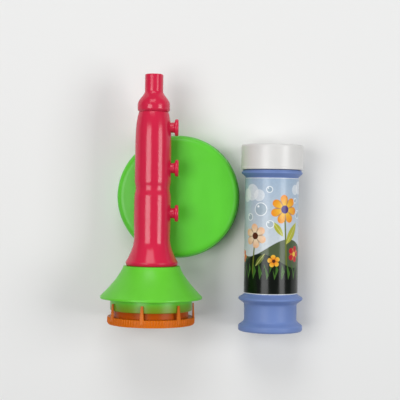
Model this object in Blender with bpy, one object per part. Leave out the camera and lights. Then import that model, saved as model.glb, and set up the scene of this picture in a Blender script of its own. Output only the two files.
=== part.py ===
"""Bubble-blowing set laid out flat: a flute-shaped blower on its dip dish, beside a bottle of solution.

Units are metres and +Z is up. The flute lies level along Y: its bell rim rests on the ground, its tube
on the upturned dish. The bottle lies beside it with its cap towards +Y. The origin is on the ground,
under the middle of the set.
"""

import math

import bmesh
import bpy
from mathutils import Vector

MM = 0.001

# Clearances
SEAT_GAP = 0.3 * MM
KEY_FIT = 0.2 * MM
LABEL_GAP = 0.1 * MM
LINER_GAP = 0.3 * MM

# Dip ring: a ribbed band, an inner sleeve and posts that grip the drum
BAND_HEIGHT = 3.7 * MM
RIB_COUNT = 96
RIB_DEPTH = 0.4 * MM
RIB_CREST_SHARE = 0.15
RIB_ROOT_SHARE = 0.35
POST_COUNT = 7
POST_PHASE = math.radians(-9.5)
POST_WIDTH = 2.2 * MM
POST_THICKNESS = 1.2 * MM
POST_GRIP = 3.6 * MM
POST_TIP_SHARE = 0.55
SLEEVE_WALL = 1.2 * MM
SLEEVE_REACH = 4.5 * MM

# Bell: a flared cone with a drum under it and a neck that plugs into the tube
BAND_TO_DRUM = 3.3 * MM
DRUM_WALL = 1.4 * MM
DRUM_DEPTH = 5.8 * MM
RIM_OVERHANG = 5.2 * MM
RIM_EDGE = 1.0 * MM
RIM_LIP = 0.8 * MM
BELL_HEIGHT = 15.4 * MM
BELL_SPREAD = 11.45 * MM
BELL_LEDGE = 1.1 * MM
BELL_WALL = 2.2 * MM
BELL_FLARE = 1.37
NECK_WALL = 1.3 * MM
NECK_LENGTH = 16.3 * MM

# Tube: skirt, belly, finger groove, chest and taper, from the bell up
TUBE_LOW_R = 9.1 * MM
SKIRT_SPREAD = 4.15 * MM
BELLY_SWELL = 0.2 * MM
CHEST_DRAW = 0.2 * MM
TAPER_DRAW = 1.6 * MM
TUBE_WALL = 1.3 * MM
SKIRT_ROLL = 1.6 * MM
SKIRT_TUCK = 0.9 * MM
FLARE_LENGTH = 13.3 * MM
BELLY_LENGTH = 11.5 * MM
CHEST_LENGTH = 30.0 * MM
TAPER_LENGTH = 22.65 * MM
FLARE_POWER = 1.7
TAPER_POWER = 4
GROOVE_RISE = 13.9 * MM
GROOVE_LENGTH = 8.6 * MM
GROOVE_DEPTH = 0.6 * MM

# Keys: pegs with round pads, by how far each lies below the top of the tube
KEY_DROPS = {"key_upper": 7.75 * MM, "key_middle": 28.25 * MM, "key_lower": 51.05 * MM}
KEY_STEM_R = 2.6 * MM
KEY_STEM_SHOWN = 2.0 * MM
KEY_PAD_R = 4.3 * MM
KEY_PAD_THICKNESS = 1.9 * MM
KEY_FILLET = 0.8 * MM

# Mouthpiece: bead, rounded shoulder, straight mouth and a spigot in the tube
BEAD_SWELL = 0.7 * MM
BEAD_HEIGHT = 2.4 * MM
SHOULDER_HEIGHT = 7.9 * MM
SHOULDER_POWER = 1.3
MOUTH_R = 4.6 * MM
MOUTH_WALL = 1.0 * MM
MOUTH_LENGTH = 8.45 * MM
SPIGOT_LENGTH = 8.0 * MM
SPIGOT_WALL = 1.1 * MM

# Dish, upside down under the tube, low enough for its edge to clear the tube's flare
DISH_R = 32.15 * MM
DISH_LIP_WIDTH = 0.4 * MM
DISH_LIP_HEIGHT = 1.4 * MM
DISH_DRAFT = 0.5 * MM
DISH_WALL = 1.3 * MM
DISH_EDGE_FILLET = 3.6 * MM
DISH_DROP = 0.85 * MM
DISH_UNDER_FLARE = 7.0 * MM
DISH_OFFSET = 12.6 * MM

# Bottle: foot, waist, flange, body and neck, from its base up
FOOT_R = 16.45 * MM
FOOT_HEIGHT = 2.9 * MM
FOOT_ROUND = 1.2 * MM
FOOT_SLOPE = 2.2 * MM
FOOT_DIMPLE = 1.5 * MM
FOOT_RING = 4.5 * MM
WAIST_R = 13.45 * MM
WAIST_LENGTH = 8.9 * MM
FLANGE_RISE = 2.2 * MM
FLANGE_HEIGHT = 0.9 * MM
FLANGE_SLOPE = 1.8 * MM
EDGE_ROUND = 0.8 * MM
BODY_R = 13.6 * MM
BODY_LENGTH = 59.9 * MM
BOTTLE_WALL = 1.1 * MM
BASE_WALL = 1.5 * MM
SHOULDER_LENGTH = 1.8 * MM
COLLAR_STEP = 0.4 * MM
COLLAR_HEIGHT = 0.9 * MM
CAP_SEAT_STEP = 0.5 * MM
CAP_SEAT_HEIGHT = 0.8 * MM
NECK_HEIGHT = 10.0 * MM
LIP_WALL = 1.5 * MM
THREAD_DEPTH = 0.9 * MM
THREAD_WIDTH = 1.8 * MM
THREAD_PITCH = 3.4 * MM
THREAD_TURNS = 1.75
LABEL_THICKNESS = 0.15 * MM
LABEL_MARGIN = 0.5 * MM

# Cap with its liner and the wand that hangs from it
CAP_R = 16.0 * MM
CAP_WALL = 1.6 * MM
CAP_ROOF = 1.5 * MM
CAP_EDGE_FILLET = 0.9 * MM
LINER_THICKNESS = 1.0 * MM
SOCKET_WALL = 1.2 * MM
SOCKET_DEPTH = 6.0 * MM
WAND_STEM_R = 1.5 * MM
WAND_CLEARANCE = 14.6 * MM
WAND_LOOP_R = 8.2 * MM
WAND_LOOP_WALL = 1.8 * MM
WAND_LOOP_THICKNESS = 3.0 * MM

# Layout: the bottle's body clears the dish, and its base lies below the flute's foot
BOTTLE_GAP = 2.55 * MM
BOTTLE_BASE_DROP = 3.8 * MM

# Mesh fineness
SIDES = 36
MOUTH_SIDES = 28
KEY_SIDES = 20
WAND_SIDES = 12
ARC_STEPS = 3
THREAD_ROWS = 16
WELD = 0.001 * MM
SHARP_ANGLE = math.radians(35)

# Plastic colours, linear RGB
PINK_RED = (0.66, 0.012, 0.060)
LEAF_GREEN = (0.110, 0.590, 0.035)
ORANGE = (0.750, 0.130, 0.010)
LILAC_BLUE = (0.185, 0.260, 0.620)
WARM_WHITE = (0.800, 0.790, 0.760)
SKY_PRINT = (0.380, 0.560, 0.660)
FOAM_GREY = (0.620, 0.620, 0.600)

# Heights along the flute's axis, from the foot of the dip ring
DRUM_FOOT = BAND_HEIGHT + BAND_TO_DRUM
RIM_FOOT = DRUM_FOOT + DRUM_DEPTH
RIM_TOP = RIM_FOOT + RIM_EDGE
BELL_TOP = RIM_TOP + BELL_HEIGHT
SKIRT_FOOT = BELL_TOP + SEAT_GAP
TUBE_LENGTH = FLARE_LENGTH + BELLY_LENGTH + CHEST_LENGTH + TAPER_LENGTH
TUBE_TOP = SKIRT_FOOT + TUBE_LENGTH
BEAD_FOOT = TUBE_TOP + SEAT_GAP
SHOULDER_FOOT = BEAD_FOOT + BEAD_HEIGHT
MOUTH_FOOT = SHOULDER_FOOT + SHOULDER_HEIGHT
MOUTH_TOP = MOUTH_FOOT + MOUTH_LENGTH

# Radii that one piece takes from another
SKIRT_R = TUBE_LOW_R + SKIRT_SPREAD
BELLY_R = TUBE_LOW_R + BELLY_SWELL
CHEST_R = BELLY_R - CHEST_DRAW
TUBE_TOP_R = CHEST_R - TAPER_DRAW
BEAD_R = TUBE_TOP_R + BEAD_SWELL
BELL_TOP_R = SKIRT_R + BELL_LEDGE
RIM_R = BELL_TOP_R + BELL_SPREAD
DRUM_R = RIM_R - RIM_OVERHANG
NECK_R = TUBE_LOW_R - TUBE_WALL - SEAT_GAP
BELL_BORE_R = NECK_R - NECK_WALL
RING_R = DRUM_R + SEAT_GAP + POST_THICKNESS
SLEEVE_R = DRUM_R - DRUM_WALL - SEAT_GAP
RING_BORE_R = SLEEVE_R - SLEEVE_WALL
SPIGOT_R = TUBE_TOP_R - TUBE_WALL - SEAT_GAP
MOUTH_BORE_R = MOUTH_R - MOUTH_WALL
DISH_HEIGHT = RIM_R - BELLY_R - DISH_DROP
DISH_FLOOR_R = DISH_R - DISH_LIP_WIDTH - DISH_DRAFT
CAP_BORE_R = CAP_R - CAP_WALL
COLLAR_R = CAP_R - COLLAR_STEP
CAP_SEAT_R = COLLAR_R - CAP_SEAT_STEP
BOTTLE_NECK_R = CAP_BORE_R - SEAT_GAP - THREAD_DEPTH
BOTTLE_BORE_R = BOTTLE_NECK_R - LIP_WALL
FLANGE_R = FOOT_R
BOTTLE_WIDEST_R = max(FOOT_R, CAP_R)

# Heights along the bottle's axis, from its base
BOTTLE_FLOOR = FOOT_DIMPLE + BASE_WALL
WAIST_FOOT = FOOT_HEIGHT + FOOT_SLOPE
WAIST_TOP = WAIST_FOOT + WAIST_LENGTH
FLANGE_FOOT = WAIST_TOP + FLANGE_RISE
BODY_FOOT = FLANGE_FOOT + FLANGE_HEIGHT + FLANGE_SLOPE
BODY_TOP = BODY_FOOT + BODY_LENGTH
COLLAR_FOOT = BODY_TOP + SHOULDER_LENGTH
COLLAR_TOP = COLLAR_FOOT + COLLAR_HEIGHT
CAP_SEAT_TOP = COLLAR_TOP + CAP_SEAT_HEIGHT
LIP_TOP = CAP_SEAT_TOP + NECK_HEIGHT
LINER_FOOT = LIP_TOP + LINER_GAP
LINER_TOP = LINER_FOOT + LINER_THICKNESS
ROOF_FOOT = LINER_TOP + LINER_GAP
CAP_TOP = ROOF_FOOT + CAP_ROOF
SOCKET_FOOT = ROOF_FOOT - SOCKET_DEPTH

# Places on the ground: the set's box is centred on the origin
BOTTLE_OFFSET = DISH_OFFSET + DISH_R + BOTTLE_GAP + BODY_R
SET_WIDTH = RIM_R + BOTTLE_OFFSET + BOTTLE_WIDEST_R
SET_LENGTH = MOUTH_TOP + BOTTLE_BASE_DROP
FLUTE_X = RIM_R - SET_WIDTH / 2
FLUTE_Y = BOTTLE_BASE_DROP - SET_LENGTH / 2
BOTTLE_X = FLUTE_X + BOTTLE_OFFSET
BOTTLE_Y = -SET_LENGTH / 2
DISH_X = FLUTE_X + DISH_OFFSET
DISH_HALF_CHORD = math.sqrt(DISH_FLOOR_R ** 2 - DISH_OFFSET ** 2)
DISH_Y = FLUTE_Y + SKIRT_FOOT + FLARE_LENGTH - DISH_UNDER_FLARE + DISH_HALF_CHORD
ALONG_Y = (-math.pi / 2, 0.0, 0.0)


def clear_scene():
    """Empty the scene of whatever it holds."""
    for thing in list(bpy.data.objects):
        bpy.data.objects.remove(thing, do_unlink=True)


def add_axis(name, place, turn):
    """An empty that carries the pieces of one item."""
    axis = bpy.data.objects.new(name, None)
    bpy.context.collection.objects.link(axis)
    axis.location = place
    axis.rotation_euler = turn
    return axis


def plastic(name, colour, roughness):
    """A plain moulded plastic."""
    finish = bpy.data.materials.new(name)
    finish.use_nodes = True
    shader = finish.node_tree.nodes["Principled BSDF"]
    shader.inputs["Base Color"].default_value = (*colour, 1.0)
    shader.inputs["Roughness"].default_value = roughness
    shader.inputs["Metallic"].default_value = 0.0
    return finish


def add_piece(name, shape, parent, finish=None):
    """Turn a bmesh into a named object under its parent."""
    bmesh.ops.recalc_face_normals(shape, faces=shape.faces)
    mesh = bpy.data.meshes.new(name)
    shape.to_mesh(mesh)
    shape.free()
    mesh.shade_smooth()
    mesh.set_sharp_from_angle(angle=SHARP_ANGLE)
    if finish:
        mesh.materials.append(finish)
    piece = bpy.data.objects.new(name, mesh)
    bpy.context.collection.objects.link(piece)
    piece.parent = parent
    return piece


def combine(piece, tool, operation):
    """Cut a tool out of a piece, or weld it on, and keep the tool as a wire guide."""
    change = piece.modifiers.new(tool.name, "BOOLEAN")
    change.operation = operation
    change.solver = "EXACT"
    change.object = tool
    tool.hide_render = True
    tool.display_type = "WIRE"


def ease(share):
    """A smooth step from 0 to 1, level at both ends."""
    return 0.5 - 0.5 * math.cos(math.pi * share)


def blend(low, high, share):
    """A value that eases from low to high."""
    return low + (high - low) * ease(share)


def spread(low, high, steps):
    """Evenly spaced values from low to high, both included."""
    return [low + (high - low) * step / steps for step in range(steps + 1)]


def rounded(corners):
    """An outline of (radius, height) points from corners, with a fillet where a third value gives one."""
    points = []
    for index, corner in enumerate(corners):
        here = Vector(corner[:2])
        fillet = corner[2] if len(corner) > 2 else 0.0
        if not fillet:
            points.append(tuple(here))
            continue
        back = Vector(corners[index - 1][:2]) - here
        ahead = Vector(corners[(index + 1) % len(corners)][:2]) - here
        reach = min(fillet, back.length / 2, ahead.length / 2)
        start = here + back.normalized() * reach
        end = here + ahead.normalized() * reach
        for share in spread(0.0, 1.0, ARC_STEPS):
            bend = start * (1 - share) ** 2 + here * 2 * share * (1 - share) + end * share ** 2
            points.append(tuple(bend))
    return points


def turned(outline, sides):
    """A bmesh turned about local Z from an outline, which may start and end on the axis."""
    shape = bmesh.new()
    points = [shape.verts.new((radius, 0.0, height)) for radius, height in outline]
    pairs = list(zip(points, points[1:]))
    if outline[0][0] > WELD or outline[-1][0] > WELD:
        pairs.append((points[-1], points[0]))
    edges = [shape.edges.new(pair) for pair in pairs]
    bmesh.ops.spin(shape, geom=points + edges, cent=(0, 0, 0), axis=(0, 0, 1), dvec=(0, 0, 0),
                   angle=2 * math.pi, steps=sides, use_merge=True, use_duplicate=False)
    bmesh.ops.remove_doubles(shape, verts=shape.verts, dist=WELD)
    return shape


def prism(outline, foot, top):
    """A bmesh made by raising a flat outline of (x, y) points from foot to top."""
    shape = bmesh.new()
    base = shape.faces.new([shape.verts.new((x, y, foot)) for x, y in outline])
    raised = bmesh.ops.extrude_face_region(shape, geom=[base])
    lifted = [item for item in raised["geom"] if isinstance(item, bmesh.types.BMVert)]
    bmesh.ops.translate(shape, verts=lifted, vec=(0, 0, top - foot))
    return shape


def tube_core_radius(height):
    """Outer radius of the tube without its groove, at a height above its skirt."""
    if height < SKIRT_ROLL:
        return SKIRT_R - SKIRT_TUCK * (1 - math.sqrt(1 - (1 - height / SKIRT_ROLL) ** 2))
    if height < FLARE_LENGTH:
        share = (height - SKIRT_ROLL) / (FLARE_LENGTH - SKIRT_ROLL)
        return TUBE_LOW_R + (SKIRT_R - TUBE_LOW_R) * (1 - share) ** FLARE_POWER
    height -= FLARE_LENGTH
    if height < BELLY_LENGTH:
        return blend(TUBE_LOW_R, BELLY_R, height / BELLY_LENGTH)
    height -= BELLY_LENGTH
    if height < CHEST_LENGTH:
        return blend(BELLY_R, CHEST_R, height / CHEST_LENGTH)
    share = (height - CHEST_LENGTH) / TAPER_LENGTH
    return CHEST_R - (CHEST_R - TUBE_TOP_R) * share ** TAPER_POWER


def tube_radius(height):
    """Outer radius of the tube, finger groove included."""
    from_groove = abs(height - FLARE_LENGTH - BELLY_LENGTH - GROOVE_RISE) / (GROOVE_LENGTH / 2)
    groove = GROOVE_DEPTH * ease(1 - from_groove) if from_groove < 1 else 0.0
    return tube_core_radius(height) - groove


def tube_bore_radius(height):
    """Radius of the tube's bore, which never widens above the lip of the skirt."""
    return min(tube_core_radius(height), tube_core_radius(0.0)) - TUBE_WALL


def bell_depth(radius):
    """How far below its top the bell's outer face reaches a radius."""
    share = (radius - BELL_TOP_R) / (RIM_R - BELL_TOP_R)
    return BELL_HEIGHT * share ** (1 / BELL_FLARE)


def bell_curve(low_radius, high_radius, drop, steps):
    """Points on the bell's flare between two radii, lowered by drop."""
    top = BELL_TOP - drop
    return [(radius, top - bell_depth(radius)) for radius in spread(low_radius, high_radius, steps)]


def make_mouthpiece(flute):
    """The mouth, its shoulder and bead, bored through, with a spigot that plugs into the tube."""
    shoulder = [(blend(BEAD_R, MOUTH_R, share ** SHOULDER_POWER), SHOULDER_FOOT + SHOULDER_HEIGHT * share)
                for share in spread(0.0, 1.0, 7)]
    lip = MOUTH_WALL / 2
    outside = rounded([(SPIGOT_R, BEAD_FOOT - SPIGOT_LENGTH), (SPIGOT_R, BEAD_FOOT),
                       (TUBE_TOP_R, BEAD_FOOT), (BEAD_R, BEAD_FOOT + BEAD_HEIGHT / 2),
                       (BEAD_R, SHOULDER_FOOT)])
    mouth = rounded([(MOUTH_R, MOUTH_FOOT), (MOUTH_R, MOUTH_TOP, lip), (MOUTH_BORE_R, MOUTH_TOP, lip),
                     (MOUTH_BORE_R, MOUTH_FOOT)])
    inside = [(SPIGOT_R - SPIGOT_WALL, SHOULDER_FOOT), (SPIGOT_R - SPIGOT_WALL, BEAD_FOOT - SPIGOT_LENGTH)]
    shape = turned(outside[:-1] + shoulder[:-1] + mouth + inside, MOUTH_SIDES)
    add_piece("mouthpiece", shape, flute, plastic("mouthpiece", PINK_RED, 0.25))


def make_tube(flute):
    """The hollow tube, flared at the skirt, with a peg hole for each key."""
    groove_middle = FLARE_LENGTH + BELLY_LENGTH + GROOVE_RISE
    groove_foot = groove_middle - GROOVE_LENGTH / 2
    groove_top = groove_middle + GROOVE_LENGTH / 2
    taper_foot = TUBE_LENGTH - TAPER_LENGTH
    heights = spread(0.0, SKIRT_ROLL, 3)[:-1] + spread(SKIRT_ROLL, FLARE_LENGTH, 6)
    heights += [FLARE_LENGTH + BELLY_LENGTH]
    heights += spread(groove_foot, groove_top, 6)
    heights += spread(taper_foot, TUBE_LENGTH, 5)
    outer = [(tube_radius(height), SKIRT_FOOT + height) for height in heights]
    bore_heights = spread(0.0, FLARE_LENGTH, 4) + [taper_foot] + spread(taper_foot, TUBE_LENGTH, 3)[1:]
    bore = [(tube_bore_radius(height), SKIRT_FOOT + height) for height in reversed(bore_heights)]
    shape = turned(outer + bore, SIDES)
    tube = add_piece("tube", shape, flute, plastic("tube", PINK_RED, 0.25))
    for name, drop in KEY_DROPS.items():
        height = TUBE_LENGTH - drop
        wall_middle = tube_radius(height) - TUBE_WALL / 2
        hole_r = KEY_STEM_R + KEY_FIT
        hole = turned([(0.0, wall_middle - 2 * TUBE_WALL), (hole_r, wall_middle - 2 * TUBE_WALL),
                       (hole_r, wall_middle + 2 * TUBE_WALL), (0.0, wall_middle + 2 * TUBE_WALL)], KEY_SIDES)
        cutter = add_piece(name + "_hole", hole, flute)
        place_key(cutter, height)
        combine(tube, cutter, "DIFFERENCE")


def place_key(piece, height):
    """Turn a piece from local Z to the flute's key side, at a height above the skirt."""
    piece.location = (0.0, 0.0, SKIRT_FOOT + height)
    piece.rotation_euler = (0.0, math.pi / 2, 0.0)


def make_keys(flute):
    """One peg with a round pad for each key."""
    for name, drop in KEY_DROPS.items():
        height = TUBE_LENGTH - drop
        peg_end = tube_bore_radius(height)
        pad_foot = tube_radius(height) + KEY_STEM_SHOWN
        pad_top = pad_foot + KEY_PAD_THICKNESS
        edge = KEY_PAD_THICKNESS / 3
        outline = rounded([(0.0, peg_end), (KEY_STEM_R, peg_end), (KEY_STEM_R, pad_foot, KEY_FILLET),
                           (KEY_PAD_R, pad_foot, edge), (KEY_PAD_R, pad_top, edge), (0.0, pad_top)])
        key = add_piece(name, turned(outline, KEY_SIDES), flute, plastic(name, PINK_RED, 0.25))
        place_key(key, height)


def make_bell(flute):
    """The flared bell, its drum and its neck, as one thin moulding."""
    neck_top = SKIRT_FOOT + NECK_LENGTH
    plate_foot = BELL_TOP - BELL_WALL
    outside = [(NECK_R, neck_top), (NECK_R, BELL_TOP)] + bell_curve(BELL_TOP_R, RIM_R, 0.0, 6)
    under_rim = [(RIM_R, RIM_FOOT), (RIM_R - RIM_LIP, RIM_FOOT), (DRUM_R, plate_foot - bell_depth(DRUM_R))]
    drum = [(DRUM_R, DRUM_FOOT), (DRUM_R - DRUM_WALL, DRUM_FOOT)]
    inside = bell_curve(BELL_TOP_R, DRUM_R - DRUM_WALL, BELL_WALL, 4)[::-1]
    bore = [(BELL_BORE_R, plate_foot), (BELL_BORE_R, neck_top)]
    shape = turned(outside + under_rim + drum + inside + bore, SIDES)
    add_piece("bell", shape, flute, plastic("bell", LEAF_GREEN, 0.3))


def ribbed_edge():
    """Points round the band's ribbed outside."""
    points = []
    for rib in range(RIB_COUNT):
        for share, radius in ((-RIB_ROOT_SHARE, RING_R - RIB_DEPTH), (-RIB_CREST_SHARE, RING_R),
                              (RIB_CREST_SHARE, RING_R), (RIB_ROOT_SHARE, RING_R - RIB_DEPTH)):
            angle = 2 * math.pi * (rib + share) / RIB_COUNT
            points.append((radius * math.cos(angle), radius * math.sin(angle)))
    return points


def make_posts(flute):
    """The tapered posts that stand on the band and grip the drum, as one guide to weld on."""
    posts = bmesh.new()
    inner = DRUM_R + SEAT_GAP
    root = BAND_HEIGHT / 2
    post_top = DRUM_FOOT + POST_GRIP
    tip_r = inner + POST_THICKNESS * POST_TIP_SHARE
    for post in range(POST_COUNT):
        angle = POST_PHASE + 2 * math.pi * post / POST_COUNT
        outward = Vector((math.sin(angle), -math.cos(angle), 0.0))
        sideways = Vector((math.cos(angle), math.sin(angle), 0.0)) * POST_WIDTH / 2
        ends = []
        for height, outer, share in ((root, RING_R, 1.0), (post_top, tip_r, POST_TIP_SHARE)):
            half = sideways * share
            corners = (outward * inner - half, outward * outer - half,
                       outward * outer + half, outward * inner + half)
            ends.append([posts.verts.new(corner + Vector((0, 0, height))) for corner in corners])
        foot, top = ends
        posts.faces.new(foot)
        posts.faces.new(top)
        for side in range(4):
            after = (side + 1) % 4
            posts.faces.new((foot[side], foot[after], top[after], top[side]))
    return add_piece("ring_posts", posts, flute)


def make_dip_ring(flute):
    """The ribbed band with its sleeve inside the drum and its posts outside."""
    band = prism(ribbed_edge(), 0.0, BAND_HEIGHT)
    ring = add_piece("dip_ring", band, flute, plastic("dip_ring", ORANGE, 0.3))
    sleeve_root = BAND_HEIGHT / 2
    sleeve_top = DRUM_FOOT + SLEEVE_REACH
    sleeve = turned([(0.0, sleeve_root), (SLEEVE_R, sleeve_root), (SLEEVE_R, sleeve_top),
                     (0.0, sleeve_top)], SIDES)
    combine(ring, add_piece("ring_sleeve", sleeve, flute), "UNION")
    combine(ring, make_posts(flute), "UNION")
    over = BAND_HEIGHT
    bore = turned([(0.0, -over), (RING_BORE_R, -over), (RING_BORE_R, sleeve_top + over),
                   (0.0, sleeve_top + over)], SIDES)
    combine(ring, add_piece("ring_bore", bore, flute), "DIFFERENCE")


def make_dish():
    """The shallow round dish, resting upside down on its lip."""
    dish_axis = add_axis("dish_axis", (DISH_X, DISH_Y, 0.0), (0.0, 0.0, 0.0))
    wall_foot = DISH_R - DISH_LIP_WIDTH
    roof = DISH_HEIGHT - DISH_WALL
    outline = rounded([(0.0, DISH_HEIGHT), (DISH_FLOOR_R, DISH_HEIGHT, DISH_EDGE_FILLET),
                       (wall_foot, DISH_LIP_HEIGHT), (DISH_R, DISH_LIP_HEIGHT), (DISH_R, 0.0),
                       (wall_foot - DISH_WALL, 0.0), (DISH_FLOOR_R - DISH_WALL, roof, DISH_EDGE_FILLET),
                       (0.0, roof)])
    add_piece("dip_dish", turned(outline, SIDES), dish_axis, plastic("dip_dish", LEAF_GREEN, 0.35))


def raise_thread(shape):
    """Push the neck's outer face out along a helix, tapered at both ends."""
    start = CAP_SEAT_TOP + THREAD_WIDTH
    for point in shape.verts:
        radius = math.hypot(point.co.x, point.co.y)
        if abs(radius - BOTTLE_NECK_R) > WELD or not CAP_SEAT_TOP < point.co.z < LIP_TOP:
            continue
        turn = math.atan2(point.co.y, point.co.x) / (2 * math.pi) % 1.0
        height = 0.0
        for lap in range(math.ceil(THREAD_TURNS)):
            along = turn + lap
            from_crest = abs(point.co.z - start - THREAD_PITCH * along) / (THREAD_WIDTH / 2)
            if along <= THREAD_TURNS and from_crest < 1:
                fade = min(1.0, 8 * along, 8 * (THREAD_TURNS - along))
                height = max(height, THREAD_DEPTH * ease(1 - from_crest) * fade)
        point.co.x *= (radius + height) / radius
        point.co.y *= (radius + height) / radius


def make_bottle(bottle_axis):
    """The blown bottle: hollow foot, waist, flange and body, with a threaded neck."""
    outside = rounded([(0.0, FOOT_DIMPLE), (FOOT_R - FOOT_RING, FOOT_DIMPLE, FOOT_DIMPLE),
                       (FOOT_R - FOOT_RING + FOOT_DIMPLE, 0.0), (FOOT_R, 0.0, FOOT_ROUND),
                       (FOOT_R, FOOT_HEIGHT, EDGE_ROUND), (WAIST_R, WAIST_FOOT), (WAIST_R, WAIST_TOP),
                       (FLANGE_R, FLANGE_FOOT, EDGE_ROUND),
                       (FLANGE_R, FLANGE_FOOT + FLANGE_HEIGHT, EDGE_ROUND),
                       (BODY_R, BODY_FOOT), (BODY_R, BODY_TOP), (COLLAR_R, COLLAR_FOOT),
                       (COLLAR_R, COLLAR_TOP), (CAP_SEAT_R, COLLAR_TOP), (CAP_SEAT_R, CAP_SEAT_TOP)])
    neck = [(BOTTLE_NECK_R, height) for height in spread(CAP_SEAT_TOP, LIP_TOP, THREAD_ROWS)]
    inner_r = BODY_R - BOTTLE_WALL
    waist_inner_r = WAIST_R - BOTTLE_WALL
    inside = [(BOTTLE_BORE_R, LIP_TOP), (BOTTLE_BORE_R, COLLAR_FOOT), (inner_r, BODY_TOP - BOTTLE_WALL),
              (inner_r, BODY_FOOT), (waist_inner_r, FLANGE_FOOT), (waist_inner_r, BOTTLE_FLOOR),
              (0.0, BOTTLE_FLOOR)]
    shape = turned(outside + neck + inside, SIDES)
    raise_thread(shape)
    add_piece("bottle", shape, bottle_axis, plastic("bottle", LILAC_BLUE, 0.3))


def make_label(bottle_axis):
    """The printed sleeve round the body."""
    inner = BODY_R + LABEL_GAP
    outer = inner + LABEL_THICKNESS
    foot = BODY_FOOT + LABEL_MARGIN
    top = BODY_TOP - LABEL_MARGIN
    shape = turned([(outer, top), (outer, foot), (inner, foot), (inner, top)], SIDES)
    add_piece("bottle_label", shape, bottle_axis, plastic("bottle_label", SKY_PRINT, 0.35))


def make_cap(bottle_axis):
    """The round cap, with a socket under its roof for the wand."""
    socket_bore_r = WAND_STEM_R + SEAT_GAP
    socket_r = socket_bore_r + SOCKET_WALL
    foot = CAP_SEAT_TOP + SEAT_GAP
    outline = rounded([(0.0, CAP_TOP), (CAP_R, CAP_TOP, CAP_EDGE_FILLET), (CAP_R, foot), (CAP_BORE_R, foot),
                       (CAP_BORE_R, ROOF_FOOT), (socket_r, ROOF_FOOT), (socket_r, SOCKET_FOOT),
                       (socket_bore_r, SOCKET_FOOT), (socket_bore_r, ROOF_FOOT), (0.0, ROOF_FOOT)])
    add_piece("bottle_cap", turned(outline, SIDES), bottle_axis, plastic("bottle_cap", WARM_WHITE, 0.35))
    liner_r = CAP_BORE_R - LINER_GAP
    liner_bore_r = socket_r + LINER_GAP
    ring = turned([(liner_r, LINER_TOP), (liner_r, LINER_FOOT), (liner_bore_r, LINER_FOOT),
                   (liner_bore_r, LINER_TOP)], SIDES)
    add_piece("cap_liner", ring, bottle_axis, plastic("cap_liner", FOAM_GREY, 0.8))


def make_wand(bottle_axis):
    """The stem plugged in the cap's socket, with an open loop at its far end."""
    top = ROOF_FOOT - SEAT_GAP
    loop_middle = BOTTLE_FLOOR + WAND_CLEARANCE + WAND_LOOP_R
    stem_foot = loop_middle + WAND_LOOP_R - WAND_LOOP_WALL / 2
    stem = turned([(0.0, top), (WAND_STEM_R, top), (WAND_STEM_R, stem_foot), (0.0, stem_foot)], WAND_SIDES)
    wand = add_piece("wand", stem, bottle_axis, plastic("wand", WARM_WHITE, 0.3))
    half = WAND_LOOP_THICKNESS / 2
    edge = WAND_LOOP_WALL / 3
    inner = WAND_LOOP_R - WAND_LOOP_WALL
    outline = rounded([(WAND_LOOP_R, half, edge), (WAND_LOOP_R, -half, edge), (inner, -half, edge),
                       (inner, half, edge)])
    loop = add_piece("wand_loop", turned(outline, MOUTH_SIDES), bottle_axis)
    loop.location = (0.0, 0.0, loop_middle)
    loop.rotation_euler = (math.pi / 2, 0.0, 0.0)
    combine(wand, loop, "UNION")


def main():
    """Build the three items of the set."""
    clear_scene()
    flute = add_axis("flute_axis", (FLUTE_X, FLUTE_Y, RIM_R), ALONG_Y)
    make_mouthpiece(flute)
    make_tube(flute)
    make_keys(flute)
    make_bell(flute)
    make_dip_ring(flute)
    make_dish()
    bottle_axis = add_axis("bottle_axis", (BOTTLE_X, BOTTLE_Y, BOTTLE_WIDEST_R), ALONG_Y)
    make_bottle(bottle_axis)
    make_label(bottle_axis)
    make_cap(bottle_axis)
    make_wand(bottle_axis)


main()
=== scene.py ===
"""Looks of the bubble-blowing set: a flute-shaped blower on its dip dish, beside a solution bottle."""
import math

import bmesh
import bpy
from mathutils import Euler, Matrix, Vector


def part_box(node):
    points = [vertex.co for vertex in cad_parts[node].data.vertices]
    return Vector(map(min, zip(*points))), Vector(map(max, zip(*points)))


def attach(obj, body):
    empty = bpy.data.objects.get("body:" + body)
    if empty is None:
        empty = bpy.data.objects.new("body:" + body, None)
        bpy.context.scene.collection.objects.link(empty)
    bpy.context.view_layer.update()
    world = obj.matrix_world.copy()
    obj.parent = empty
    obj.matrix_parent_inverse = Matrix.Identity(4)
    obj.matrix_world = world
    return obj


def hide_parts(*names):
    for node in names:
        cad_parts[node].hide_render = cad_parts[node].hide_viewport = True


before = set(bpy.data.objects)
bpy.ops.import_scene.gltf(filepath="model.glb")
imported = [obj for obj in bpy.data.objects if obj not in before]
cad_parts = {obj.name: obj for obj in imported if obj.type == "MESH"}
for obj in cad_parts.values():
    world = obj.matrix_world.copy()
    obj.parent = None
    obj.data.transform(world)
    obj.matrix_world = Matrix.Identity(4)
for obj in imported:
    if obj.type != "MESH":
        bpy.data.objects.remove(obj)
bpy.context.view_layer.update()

MM = 0.001

# Clearances, as in the frame, and how far a visible lip is drawn out to close its seam
SEAT_GAP = 0.3 * MM
LABEL_GAP = 0.1 * MM
LINER_GAP = 0.3 * MM
SEAM_DRAW = 0.22 * MM

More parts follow.
